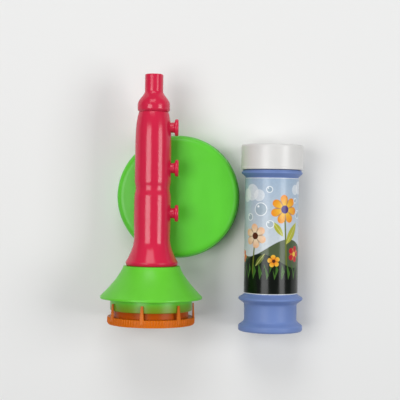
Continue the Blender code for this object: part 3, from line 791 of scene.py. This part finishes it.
def ring_of(tree, shape, count, radius, height, phase):
    """A shape repeated round the axis, each copy turned to face outwards."""
    circle = add_node(tree, "GeometryNodeMeshCircle", {"Vertices": count, "Radius": radius})
    spots = {"Geometry": circle.outputs["Mesh"], "Translation": vector(tree, Z=height),
             "Rotation": vector(tree, Z=phase)}
    placed = add_node(tree, "GeometryNodeTransform", spots).outputs["Geometry"]
    step = calc(tree, "DIVIDE", 2 * math.pi, count)
    index = add_node(tree, "GeometryNodeInputIndex").outputs["Index"]
    angle = calc(tree, "MULTIPLY_ADD", index, step, phase)
    copies = {"Points": placed, "Instance": shape, "Rotation": vector(tree, Z=angle)}
    return add_node(tree, "GeometryNodeInstanceOnPoints", copies).outputs["Instances"]


def bar(tree, section, height, lean=0.0, steps=2):
    """A closed bar raised along Z from a section curve, and the share of its length at each step."""
    top = vector(tree, X=lean, Z=height)
    line = add_node(tree, "GeometryNodeCurvePrimitiveLine", {"End": top}).outputs["Curve"]
    path = add_node(tree, "GeometryNodeResampleCurve", {"Curve": line, "Count": steps}).outputs["Curve"]
    share = add_node(tree, "GeometryNodeSplineParameter").outputs["Factor"]
    solid = {"Curve": path, "Profile Curve": section, "Fill Caps": True}
    return add_node(tree, "GeometryNodeCurveToMesh", solid), share


def grip_tree(finish, sizes):
    """Ribs round the dip ring's band, and the posts that stand on it."""
    tree, given, out = new_tree("ring_grip", sizes)
    rib_section = round_section(tree, RIB_SIDES, given["Rib Radius"])
    rib, share = bar(tree, rib_section, given["Rib Height"], steps=RIB_STEPS)
    from_middle = calc(tree, "ABSOLUTE", calc(tree, "SUBTRACT", share, 0.5))
    to_end = shift_range(tree, from_middle, RIB_STRAIGHT_SHARE, 0.5)
    fall = calc(tree, "MULTIPLY", to_end, to_end)
    dome = calc(tree, "SQRT", calc(tree, "SUBTRACT", 1.0 + RIB_TIP_SHARE, fall))
    tree.links.new(dome, rib.inputs["Scale"])
    ribs = ring_of(tree, rib.outputs["Mesh"], given["Rib Count"], given["Rib Circle"],
                   given["Rib Foot"], 0.0)
    square = {"Width": given["Post Width"], "Height": given["Post Thickness"]}
    soft = {"Curve": add_node(tree, "GeometryNodeCurvePrimitiveQuadrilateral", square).outputs["Curve"],
            "Radius": given["Post Round"], "Count": POST_ROUND_STEPS}
    post_section = add_node(tree, "GeometryNodeFilletCurve", soft, mode="POLY").outputs["Curve"]
    post, share = bar(tree, post_section, given["Post Height"], given["Post Lean"])
    narrowed = shift_range(tree, share, 0.0, 1.0, 1.0, given["Post Tip"])
    tree.links.new(narrowed, post.inputs["Scale"])
    posts = ring_of(tree, post.outputs["Mesh"], given["Post Count"], given["Post Circle"],
                    given["Post Foot"], given["Post Phase"])
    end_tree(tree, out, finish, given["Geometry"], ribs, posts)
    return tree


def thread_tree(finish, sizes):
    """A right-handed screw thread wound round a neck."""
    tree, given, out = new_tree("neck_thread", sizes)
    spiral = {"Resolution": THREAD_STEPS, "Rotations": given["Turns"], "Start Radius": given["Neck Radius"],
              "End Radius": given["Neck Radius"], "Height": given["Rise"], "Reverse": True}
    helix = add_node(tree, "GeometryNodeCurveSpiral", spiral).outputs["Curve"]
    section = round_section(tree, THREAD_SIDES, given["Bead Radius"])
    along = add_node(tree, "GeometryNodeSplineParameter").outputs["Factor"]
    from_middle = calc(tree, "ABSOLUTE", calc(tree, "SUBTRACT", along, 0.5))
    from_end = calc(tree, "SUBTRACT", 0.5, from_middle)
    taper = shift_range(tree, from_end, 0.0, THREAD_END_SHARE, THREAD_TIP_SHARE, 1.0)
    solid = {"Curve": helix, "Profile Curve": section, "Scale": taper, "Fill Caps": True}
    bead = add_node(tree, "GeometryNodeCurveToMesh", solid).outputs["Mesh"]
    lift = vector(tree, Z=given["Start"])
    placed = add_node(tree, "GeometryNodeTransform", {"Geometry": bead, "Translation": lift})
    end_tree(tree, out, finish, given["Geometry"], placed.outputs["Geometry"])
    return tree


def teeth_tree(finish, sizes):
    """Teeth round a wand's loop that hold the solution."""
    tree, given, out = new_tree("loop_teeth", sizes)
    section = round_section(tree, TOOTH_SIDES, given["Tooth Radius"])
    tooth = bar(tree, section, given["Height"])[0].outputs["Mesh"]
    drop = calc(tree, "MULTIPLY", given["Height"], -0.5)
    teeth = ring_of(tree, tooth, given["Count"], given["Circle"], drop, 0.0)
    end_tree(tree, out, finish, given["Geometry"], teeth)
    return tree


def tube_tree(finish, sizes):
    """A sheet wrapped into the flute's hollow tube: up its outside, over the lip and down its bore."""
    tree, given, out = new_tree("flute_tube", sizes)

    def do(operation, *values):
        """Result of one Math node of this tree."""
        return calc(tree, operation, *values)

    def run(start, length):
        """Share of a length that the height has gone past a start, held from 0 to 1."""
        return shift_range(tree, height, start, do("ADD", start, length))

    def smooth(share):
        """A share that is level at both ends."""
        wave = do("COSINE", do("MULTIPLY", share, math.pi))
        return do("MULTIPLY_ADD", wave, -0.5, 0.5)

    def quarter_round(share):
        """What a quarter round takes off at its foot, as a share of its depth, down to none at its top."""
        left = do("SUBTRACT", 1.0, share)
        rise = do("SQRT", do("SUBTRACT", 1.0, do("MULTIPLY", left, left)))
        return do("SUBTRACT", 1.0, rise)

    def less(value, depth, share):
        """A value less a share of a depth."""
        return do("SUBTRACT", value, do("MULTIPLY", depth, share))

    loop = do("MULTIPLY_ADD", given["Rows"], 2.0, 2.0)
    sheet = {"Size X": 1.0, "Size Y": 1.0, "Vertices X": do("ADD", given["Sides"], 1.0),
             "Vertices Y": do("ADD", loop, 1.0)}
    grid = add_node(tree, "GeometryNodeMeshGrid", sheet).outputs["Mesh"]
    on_sheet = add_node(tree, "GeometryNodeInputPosition").outputs["Position"]
    spot = add_node(tree, "ShaderNodeSeparateXYZ", {"Vector": on_sheet}).outputs
    turn = do("MULTIPLY", do("ADD", spot["X"], 0.5), 2 * math.pi)
    count = do("ROUND", do("MULTIPLY", do("ADD", spot["Y"], 0.5), loop))
    row = do("MODULO", count, loop)
    on_bore = do("GREATER_THAN", row, do("ADD", given["Rows"], 0.5))
    back = do("SUBTRACT", do("SUBTRACT", loop, 1.0), do("MULTIPLY", row, 2.0))
    step = do("MULTIPLY_ADD", on_bore, back, row)
    height = do("MULTIPLY", smooth(do("DIVIDE", step, given["Rows"])), given["Length"])

    belly_foot = given["Flare Length"]
    chest_foot = do("ADD", belly_foot, given["Belly Length"])
    taper_foot = do("ADD", chest_foot, given["Chest Length"])
    flare = run(given["Skirt Roll"], do("SUBTRACT", belly_foot, given["Skirt Roll"]))
    spread_left = do("POWER", do("SUBTRACT", 1.0, flare), given["Flare Power"])
    core = do("MULTIPLY_ADD", given["Skirt Spread"], spread_left, given["Low Radius"])
    belly = smooth(run(belly_foot, given["Belly Length"]))
    core = do("MULTIPLY_ADD", given["Belly Swell"], belly, core)
    core = less(core, given["Chest Draw"], smooth(run(chest_foot, given["Chest Length"])))
    taper = do("POWER", run(taper_foot, given["Taper Length"]), given["Taper Power"])
    core = less(core, given["Taper Draw"], taper)
    roll = run(0.0, given["Skirt Roll"])
    core = less(core, given["Skirt Tuck"], quarter_round(roll))

    skirt_r = do("ADD", given["Low Radius"], given["Skirt Spread"])
    from_groove = do("ABSOLUTE", do("SUBTRACT", height, given["Groove Middle"]))
    off_groove = do("MULTIPLY", do("DIVIDE", from_groove, given["Groove Length"]), 2.0)
    hollow = smooth(shift_range(tree, off_groove, 0.0, 1.0, 1.0, 0.0))
    from_top = do("SUBTRACT", given["Length"], height)
    top_round = quarter_round(shift_range(tree, from_top, 0.0, given["Lip"]))
    on_seam = do("LESS_THAN", do("ABSOLUTE", do("SINE", turn)), AT_SEAM)
    outside = less(less(core, given["Groove Depth"], hollow), given["Lip"], top_round)
    outside = do("MULTIPLY_ADD", given["Seam Ridge"], on_seam, outside)
    outside = do("MINIMUM", outside, skirt_r)

    from_end = do("MINIMUM", height, from_top)
    end_round = quarter_round(shift_range(tree, from_end, 0.0, given["Lip"]))
    foot_r = do("SUBTRACT", skirt_r, given["Skirt Tuck"])
    bore = do("SUBTRACT", do("MINIMUM", core, foot_r), given["Wall"])
    bore = do("MULTIPLY_ADD", given["Lip"], end_round, bore)

    radius = do("MULTIPLY_ADD", on_bore, do("SUBTRACT", bore, outside), outside)
    drawn = do("MULTIPLY", given["Skirt Draw"], do("SUBTRACT", 1.0, roll))
    rise = do("SUBTRACT", do("ADD", given["Foot"], height), drawn)
    place = {"X": do("MULTIPLY", radius, do("COSINE", turn)),
             "Y": do("MULTIPLY", radius, do("SINE", turn)), "Z": rise}
    wrapped = {"Geometry": grid, "Position": vector(tree, **place)}
    wall = add_node(tree, "GeometryNodeSetPosition", wrapped).outputs["Geometry"]
    closed = add_node(tree, "GeometryNodeMergeByDistance", {"Geometry": wall, "Distance": WELD})
    end_tree(tree, out, finish, closed.outputs["Geometry"])
    return tree


def grown(mesh, tree, sizes):
    """Run a tree on a mesh with its named sizes, and return the plain mesh that it makes."""
    holder = bpy.data.objects.new(tree.name, mesh)
    bpy.context.collection.objects.link(holder)
    modifier = holder.modifiers.new(tree.name, "NODES")
    modifier.node_group = tree
    for socket in tree.interface.items_tree:
        if socket.in_out == "INPUT" and socket.name in sizes:
            modifier[socket.identifier] = sizes[socket.name]
    graph = bpy.context.evaluated_depsgraph_get()
    result = bpy.data.meshes.new_from_object(holder.evaluated_get(graph))
    holder.modifiers.remove(modifier)
    bpy.data.objects.remove(holder)
    return result


# The flute
def make_tube(finish):
    """The hollow tube, whose wall follows one rule from its rolled skirt to its tapered top."""
    sizes = {"Sides": SIDES, "Rows": TUBE_ROWS, "Foot": SKIRT_FOOT, "Length": TUBE_LENGTH,
             "Wall": TUBE_WALL, "Lip": TUBE_LIP, "Low Radius": TUBE_LOW_R, "Skirt Spread": SKIRT_SPREAD,
             "Skirt Roll": SKIRT_ROLL, "Skirt Tuck": SKIRT_TUCK, "Skirt Draw": SEAM_DRAW,
             "Flare Length": FLARE_LENGTH, "Flare Power": FLARE_POWER,
             "Belly Length": BELLY_LENGTH, "Belly Swell": BELLY_SWELL,
             "Chest Length": CHEST_LENGTH, "Chest Draw": CHEST_DRAW, "Taper Length": TAPER_LENGTH,
             "Taper Draw": TAPER_DRAW, "Taper Power": TAPER_POWER,
             "Groove Middle": FLARE_LENGTH + BELLY_LENGTH + GROOVE_RISE, "Groove Length": GROOVE_LENGTH,
             "Groove Depth": GROOVE_DEPTH, "Seam Ridge": SEAM_RIDGE}
    mesh = grown(bpy.data.meshes.new("tube_sheet"), tube_tree(finish, sizes), sizes)
    keep("tube_shell", facing_out(mesh), FLUTE_PLACE, finish, "flute", "pink_plastic", "tube")


def make_mouthpiece(finish):
    """The mouth with its rounded shoulder, bead and spigot, bored through."""
    lip = (MOUTH_R - MOUTH_BORE_R) / 2
    seam = BEAD_FOOT - SEAM_DRAW
    half_bead = (SHOULDER_FOOT - seam) / 2
    swell = BEAD_R - TUBE_TOP_R
    bead = [(TUBE_TOP_R + swell * math.sin(math.pi / 2 * share), seam + half_bead * share)
            for share in spread(0.0, 1.0, BEAD_STEPS)]
    shoulder = [(eased(BEAD_R, MOUTH_R, share ** SHOULDER_POWER),
                 SHOULDER_FOOT + (MOUTH_FOOT - SHOULDER_FOOT) * share)
                for share in spread(0.0, 1.0, SHOULDER_STEPS)]
    spigot_foot = BEAD_FOOT - SPIGOT_LENGTH
    outline = rounded([(SPIGOT_BORE_R, spigot_foot, lip), (SPIGOT_R, spigot_foot, lip), (SPIGOT_R, seam)]
                      + bead + shoulder
                      + [(MOUTH_R, MOUTH_TOP, lip), (MOUTH_BORE_R, MOUTH_TOP, lip),
                         (MOUTH_BORE_R, MOUTH_FOOT), (SPIGOT_BORE_R, SHOULDER_FOOT)])
    shape = turned(outline, MOUTH_SIDES)
    raise_seam(shape, BEAD_R)
    keep("mouth_end", to_mesh(shape), FLUTE_PLACE, finish, "flute", "pink_plastic", "mouthpiece")


def make_key(node, finish):
    """A peg with a round pad, slightly dished for a fingertip."""
    low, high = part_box(node)
    axis_y = (low.y + high.y) / 2
    axis_z = (low.z + high.z) / 2
    length = high.x - low.x
    pad_foot = length - KEY_PAD_THICKNESS
    edge = KEY_PAD_THICKNESS * KEY_EDGE_SHARE
    dish_r = KEY_PAD_R * KEY_DISH_SHARE
    outline = rounded([(0.0, 0.0), (KEY_STEM_R, 0.0), (KEY_STEM_R, pad_foot, KEY_FILLET),
                       (KEY_PAD_R, pad_foot, edge), (KEY_PAD_R, length, edge),
                       (dish_r, length, KEY_DISH_ROUND),
                       (dish_r - KEY_DISH_SLOPE, length - KEY_DISH, KEY_DISH_ROUND),
                       (0.0, length - KEY_DISH)])
    place = Matrix.Translation((low.x, axis_y, axis_z)) @ Matrix.Rotation(math.pi / 2, 4, "Y")
    keep(node + "_peg", to_mesh(turned(outline, KEY_SIDES)), place, finish, "flute", "pink_plastic", node)


def bell_depth(radius):
    """How far below its top the bell's outer face reaches a radius."""
    share = (radius - BELL_TOP_R) / (RIM_R - BELL_TOP_R)
    return (BELL_TOP - RIM_TOP) * max(0.0, share) ** (1 / BELL_FLARE)


def bell_curve(low_radius, high_radius, drop, steps):
    """Points on the bell's flare between two radii, lowered by drop."""
    return [(radius, BELL_TOP - drop - bell_depth(radius))
            for radius in spread(low_radius, high_radius, steps)]


def drum_shade_share(radius, height):
    """How much painted shade and orange reflection the drum takes: more towards its foot, and only on its
    outside.
    """
    over_sleeve = (SLEEVE_TOP - height) / (SLEEVE_TOP - DRUM_FOOT)
    on_outside = abs(radius - DRUM_R) < SOFT_EDGE
    return min(1.0, max(0.0, over_sleeve)) ** DRUM_SHADE_FADE if on_outside else 0.0


def make_bell(finish):
    """The flared bell with its rim, drum and neck as one thin moulding."""
    plate_foot = BELL_TOP - BELL_WALL
    inner_drum_r = DRUM_R - DRUM_WALL
    flare = bell_curve(BELL_TOP_R, RIM_R, 0.0, FLARE_STEPS)
    flare[0] = (*flare[0], SOFT_EDGE)
    flare[-1] = (*flare[-1], SOFT_EDGE)
    inside = bell_curve(BELL_TOP_R, inner_drum_r, BELL_WALL, BELL_INSIDE_STEPS)[::-1]
    outline = rounded([(NECK_R, NECK_TOP, SOFT_EDGE), (NECK_R, BELL_TOP, SOFT_EDGE)] + flare
                      + [(RIM_R, RIM_FOOT, SOFT_EDGE), (RIM_R - RIM_LIP, RIM_FOOT, SOFT_EDGE),
                         (DRUM_R, plate_foot - bell_depth(DRUM_R), DRUM_ROOT_ROUND)]
                      + [(DRUM_R, height) for height in spread(SLEEVE_TOP, DRUM_FOOT, DRUM_STEPS)[:-1]]
                      + [(DRUM_R, DRUM_FOOT, SOFT_EDGE), (inner_drum_r, DRUM_FOOT, SOFT_EDGE)] + inside
                      + [(BELL_BORE_R, plate_foot, BELL_BORE_ROUND), (BELL_BORE_R, NECK_TOP, SOFT_EDGE)])
    mesh = to_mesh(turned(outline, BELL_SIDES))
    # Painted shade and orange reflection, growing towards the drum's foot
    mark_painted_shade(mesh, drum_shade_share)
    keep("flared_bell", mesh, FLUTE_PLACE, finish, "flute", "green_plastic", "bell")


def sleeve_shade_share(radius, height):
    """Only the ring's sleeve, above its band, takes the painted shade."""
    return 1.0 if radius < SLEEVE_R + SOFT_EDGE and height > BAND_HEIGHT - SOFT_EDGE else 0.0


def make_dip_ring(finish):
    """The band and its sleeve, with ribs and posts grown on it."""
    outline = rounded([(RING_BORE_R, 0.0), (BAND_ROOT_R, 0.0, BAND_FILLET), (BAND_ROOT_R, BAND_HEIGHT),
                       (SLEEVE_R, BAND_HEIGHT), (SLEEVE_R, SLEEVE_TOP),
                       (RING_BORE_R, SLEEVE_TOP)], SOFT_EDGE)
    post_foot = BAND_HEIGHT / 2
    sizes = {"Rib Count": RIB_COUNT, "Rib Radius": RIB_R, "Rib Circle": RING_R - RIB_R, "Rib Foot": RIB_FOOT,
             "Rib Height": BAND_HEIGHT + RIB_PROUD - RIB_FOOT, "Post Count": POST_COUNT,
             "Post Width": POST_WIDTH, "Post Thickness": POST_THICKNESS, "Post Round": POST_ROUND,
             "Post Circle": RING_R - POST_THICKNESS / 2, "Post Foot": post_foot,
             "Post Height": POST_TOP - post_foot, "Post Lean": (POST_TIP_SHARE - 1) * POST_THICKNESS / 2,
             "Post Tip": POST_TIP_SHARE, "Post Phase": POST_PHASE - math.pi / 2}
    mesh = grown(to_mesh(turned(outline, BELL_SIDES)), grip_tree(finish, sizes), sizes)
    # Painted shade on the recessed sleeve between band and drum
    mark_painted_shade(mesh, sleeve_shade_share)
    keep("ribbed_ring", mesh, FLUTE_PLACE, finish, "ring", "orange_plastic", "dip_ring")


# The dish
def make_dish(finish):
    """The shallow dish, upside down on its lip."""
    wall_foot = DISH_R - DISH_LIP_WIDTH
    roof = DISH_HEIGHT - DISH_WALL
    outline = rounded([(0.0, DISH_HEIGHT), (DISH_FLOOR_R, DISH_HEIGHT, DISH_EDGE_FILLET),
                       (wall_foot, DISH_LIP_HEIGHT, DISH_LIP_ROUND),
                       (DISH_R, DISH_LIP_HEIGHT, DISH_LIP_ROUND), (DISH_R, 0.0, DISH_LIP_ROUND),
                       (wall_foot - DISH_WALL, 0.0, DISH_LIP_ROUND),
                       (DISH_FLOOR_R - DISH_WALL, roof, DISH_EDGE_FILLET), (0.0, roof)])
    mesh = to_mesh(turned(outline, DISH_SIDES))
    keep("round_dish", mesh, DISH_PLACE, finish, "dish", "green_plastic", "dip_dish")


# The bottle
def make_bottle(finish):
    """The blown bottle with a thread wound round its neck."""
    inner_r = BODY_R - BOTTLE_WALL
    waist_inner_r = WAIST_R - BOTTLE_WALL
    dimple_r = FOOT_R - FOOT_RING
    outside = [(0.0, FOOT_DIMPLE), (dimple_r, FOOT_DIMPLE, FOOT_DIMPLE),
               (dimple_r + FOOT_DIMPLE, 0.0, DIMPLE_ROUND), (FOOT_R, 0.0, FOOT_ROUND),
               (FOOT_R, FOOT_HEIGHT, FLANGE_ROUND), (WAIST_R, WAIST_FOOT, WAIST_FOOT_ROUND),
               (WAIST_R, WAIST_TOP, WAIST_TOP_ROUND), (FLANGE_R, FLANGE_FOOT, FLANGE_ROUND),
               (FLANGE_R, FLANGE_TOP, FLANGE_ROUND), (BODY_R, BODY_FOOT, BODY_ROUND),
               (BODY_R, BODY_TOP, BODY_ROUND), (COLLAR_R, COLLAR_FOOT, SOFT_EDGE),
               (COLLAR_R, COLLAR_TOP, SOFT_EDGE), (CAP_SEAT_R, COLLAR_TOP, CAP_SEAT_ROUND),
               (CAP_SEAT_R, CAP_SEAT_TOP, FINE_EDGE), (BOTTLE_NECK_R, CAP_SEAT_TOP, SOFT_EDGE),
               (BOTTLE_NECK_R, LIP_TOP, LIP_ROUND), (BOTTLE_BORE_R, LIP_TOP, LIP_ROUND)]
    hollow = [(BOTTLE_BORE_R, COLLAR_FOOT), (inner_r, BODY_TOP - BOTTLE_WALL), (inner_r, BODY_FOOT),
              (waist_inner_r, FLANGE_FOOT), (waist_inner_r, BOTTLE_FLOOR)]
    inside = [(radius, height, BOTTLE_INNER_ROUND) for radius, height in hollow]
    outline = rounded(outside + inside + [(0.0, BOTTLE_FLOOR)])
    shape = turned(outline)
    raise_seam(shape, FOOT_R)
    sizes = {"Turns": THREAD_TURNS, "Neck Radius": BOTTLE_NECK_R, "Rise": THREAD_PITCH * THREAD_TURNS,
             "Start": THREAD_START, "Bead Radius": THREAD_R}
    mesh = grown(to_mesh(shape), thread_tree(finish, sizes), sizes)
    keep("bottle_shell", mesh, BOTTLE_PLACE, finish, "bottle", "lilac_plastic", "bottle")


def make_label(finish):
    """The printed sleeve, wrapped once round the body with a lapped seam underneath."""
    shape = bmesh.new()
    unwrap = shape.loops.layers.uv.new("sleeve")
    rows = []
    for share in spread(0.0, 1.0 + LABEL_LAP, LABEL_STEPS):
        angle = math.pi / 2 + 2 * math.pi * share
        inner = LABEL_R + LABEL_THICKNESS * LABEL_RISE * share
        corners = ((inner, LABEL_FOOT), (inner + LABEL_THICKNESS, LABEL_FOOT),
                   (inner + LABEL_THICKNESS, LABEL_TOP), (inner, LABEL_TOP))
        row = [shape.verts.new((radius * math.cos(angle), radius * math.sin(angle), height))
               for radius, height in corners]
        rows.append((share, row))
    for (share, row), (next_share, next_row) in zip(rows, rows[1:]):
        for side in range(4):
            after = (side + 1) % 4
            face = shape.faces.new((row[side], row[after], next_row[after], next_row[side]))
            for loop in face.loops:
                loop[unwrap].uv.x = share if loop.vert in row else next_share
    for share, row in (rows[0], rows[-1]):
        for loop in shape.faces.new(row).loops:
            loop[unwrap].uv.x = share
    for face in shape.faces:
        for loop in face.loops:
            loop[unwrap].uv.y = (loop.vert.co.z - LABEL_FOOT) / (LABEL_TOP - LABEL_FOOT)
    bmesh.ops.recalc_face_normals(shape, faces=shape.faces)
    keep("printed_sleeve", to_mesh(shape), BOTTLE_PLACE, finish, "bottle", "label_film", "bottle_label")


def make_cap(finish, foam):
    """The round cap with a bead at its foot and a socket for the wand, and the sealing wad inside it."""
    wall_r = CAP_R - CAP_BEAD_PROUD
    bead_top = CAP_FOOT + CAP_BEAD
    sunk_top = CAP_TOP - CAP_SINK
    outline = rounded([(0.0, sunk_top), (CAP_R - CAP_RIM - CAP_SINK, sunk_top, SOFT_EDGE),
                       (CAP_R - CAP_RIM, CAP_TOP, SOFT_EDGE), (wall_r, CAP_TOP, CAP_TOP_ROUND),
                       (wall_r, bead_top, CAP_BEAD_STEP), (CAP_R, bead_top - CAP_BEAD_STEP, CAP_BEAD_ROUND),
                       (CAP_R, CAP_FOOT, CAP_FOOT_ROUND), (CAP_BORE_R, CAP_FOOT, SOFT_EDGE),
                       (CAP_BORE_R, ROOF_FOOT, SOFT_EDGE), (SOCKET_R, ROOF_FOOT, SOFT_EDGE),
                       (SOCKET_R, SOCKET_FOOT, SOFT_EDGE), (SOCKET_BORE_R, SOCKET_FOOT, SOFT_EDGE),
                       (SOCKET_BORE_R, ROOF_FOOT), (0.0, ROOF_FOOT)])
    keep("screw_cap", to_mesh(turned(outline)), BOTTLE_PLACE, finish, "cap", "white_plastic", "bottle_cap")
    wad_r = CAP_BORE_R - LINER_GAP
    wad_bore_r = SOCKET_R + LINER_GAP
    ring = rounded([(wad_r, LINER_TOP), (wad_r, LINER_FOOT), (wad_bore_r, LINER_FOOT),
                    (wad_bore_r, LINER_TOP)], FINE_EDGE)
    wad = to_mesh(turned(ring, WAD_SIDES))
    keep("sealing_wad", wad, BOTTLE_PLACE, foam, "cap", "liner_foam", "cap_liner")


def make_wand(finish):
    """The stem plugged in the cap, with an open toothed loop at its end."""
    half = WAND_LOOP_THICKNESS / 2
    edge = WAND_LOOP_WALL / 3
    rim_r = WAND_LOOP_R - WAND_TOOTH_PROUD
    inner_r = WAND_LOOP_R - WAND_LOOP_WALL
    section = rounded([(rim_r, half), (rim_r, -half), (inner_r, -half), (inner_r, half)], edge)
    sizes = {"Count": WAND_TEETH, "Tooth Radius": WAND_TOOTH_R, "Circle": WAND_LOOP_R - WAND_TOOTH_R,
             "Height": WAND_LOOP_THICKNESS * WAND_TOOTH_SHARE}
    loop = grown(to_mesh(turned(section, LOOP_SIDES)), teeth_tree(finish, sizes), sizes)
    loop.transform(Matrix.Translation((0, 0, WAND_LOOP_MIDDLE)) @ Matrix.Rotation(math.pi / 2, 4, "X"))
    top = ROOF_FOOT - SEAT_GAP
    stem_foot = WAND_LOOP_MIDDLE + WAND_LOOP_R - WAND_LOOP_WALL / 2
    outline = rounded([(0.0, top), (WAND_STEM_R, top, WAND_STEM_ROUND),
                       (WAND_STEM_R, stem_foot + WAND_TAPER_LENGTH),
                       (WAND_STEM_R * WAND_TAPER_SHARE, stem_foot, SOFT_EDGE), (0.0, stem_foot)])
    stem = turned(outline, STEM_SIDES)
    stem.from_mesh(loop)
    keep("bubble_wand", to_mesh(stem), BOTTLE_PLACE, finish, "cap", "wand_plastic", "wand")


# Stage: lengths in metres, the lens and sensor in millimetres
FLOOR_COLOUR = (0.80, 0.80, 0.79)
FLOOR_ROUGHNESS = 0.7
FLOOR_HALF = 3.0
FLOOR_DROP = 0.05 * MM
ROOM_COLOUR = (0.95, 0.97, 1.0)
ROOM_STRENGTH = 0.20
LIGHT_DISTANCE = 0.9
CAMERA_PLACE = (-1.775 * MM, 1.7 * MM, 0.587)
CAMERA_LENS = 99.9
CAMERA_SENSOR = 36.0
CAMERA_ROLL = math.radians(0.8)


def make_floor():
    """A plain pale floor."""
    mesh = bpy.data.meshes.new("floor")
    corners = [(x * FLOOR_HALF, y * FLOOR_HALF, -FLOOR_DROP)
               for x, y in ((-1, -1), (1, -1), (1, 1), (-1, 1))]
    mesh.from_pydata(corners, [], [(0, 1, 2, 3)])
    finish, tree, shader = new_finish("floor_paint")
    feed(tree, shader, {"Base Color": opaque(FLOOR_COLOUR), "Roughness": FLOOR_ROUGHNESS})
    mesh.materials.append(finish)
    floor = bpy.data.objects.new("floor", mesh)
    bpy.context.collection.objects.link(floor)


def add_softbox(name, tilt, lean, width, length, radiance):
    """A soft rectangular lamp aimed at the set, tilted off overhead to +X and leant off it to +Y."""
    lamp = bpy.data.lights.new(name, "AREA")
    lamp.shape = "RECTANGLE"
    lamp.size = width
    lamp.size_y = length
    lamp.energy = radiance * math.pi * width * length
    turn = Euler((-math.radians(lean), math.radians(tilt), 0.0))
    holder = bpy.data.objects.new(name, lamp)
    holder.rotation_euler = turn
    holder.location = turn.to_matrix() @ Vector((0.0, 0.0, LIGHT_DISTANCE))
    bpy.context.collection.objects.link(holder)


def make_light_and_camera():
    """Two soft strips overhead, a soft key beyond the mouthpiece, an even room and a camera looking down."""
    add_softbox("left_strip", tilt=-27, lean=0, width=0.46, length=0.46, radiance=5.5)
    add_softbox("right_strip", tilt=46, lean=0, width=0.36, length=0.46, radiance=6.4)
    add_softbox("key", tilt=-10, lean=48, width=0.50, length=0.50, radiance=3.2)
    world = bpy.data.worlds.new("room")
    world.use_nodes = True
    room = {"Color": opaque(ROOM_COLOUR), "Strength": ROOM_STRENGTH}
    feed(world.node_tree, world.node_tree.nodes["Background"], room)
    bpy.context.scene.world = world
    lens = bpy.data.cameras.new("camera")
    lens.lens = CAMERA_LENS
    lens.sensor_width = CAMERA_SENSOR
    camera = bpy.data.objects.new("camera", lens)
    camera.location = CAMERA_PLACE
    camera.rotation_euler = (0.0, 0.0, CAMERA_ROLL)
    bpy.context.collection.objects.link(camera)
    bpy.context.scene.camera = camera
    bpy.context.scene.view_settings.view_transform = "Standard"


# The set
pink = moulded("pink_moulding", PINK_RED, roughness=0.17, shine=0.40)
# Painted shade and orange reflection on the bell's drum
bell_green = moulded("bell_moulding", BELL_GREEN, roughness=0.32, shine=0.32, painted_tint=DRUM_SHADE_AND_REFLECTION)
dish_green = moulded("dish_moulding", LEAF_GREEN, roughness=0.34, shine=0.40)
# Painted shade on the ring's recessed sleeve
orange = moulded("orange_moulding", ORANGE, roughness=0.32, shine=0.12, wear=0.05, painted_tint=SLEEVE_SHADE)
lilac = moulded("lilac_blown", LILAC_BLUE, roughness=0.42, shine=0.24)
white = moulded("white_moulding", WARM_WHITE, roughness=0.32, shine=0.50)
wand_white = moulded("wand_moulding", WARM_WHITE, roughness=0.32, shine=0.50)
make_tube(pink)
make_mouthpiece(pink)
for key_node in ("key_upper", "key_middle", "key_lower"):
    make_key(key_node, pink)
make_bell(bell_green)
make_dip_ring(orange)
make_dish(dish_green)
make_bottle(lilac)
make_label(printed("sleeve_print"))
make_cap(white, foamed("wad_foam", FOAM_GREY))
make_wand(wand_white)
make_floor()
make_light_and_camera()
bpy.context.view_layer.update()
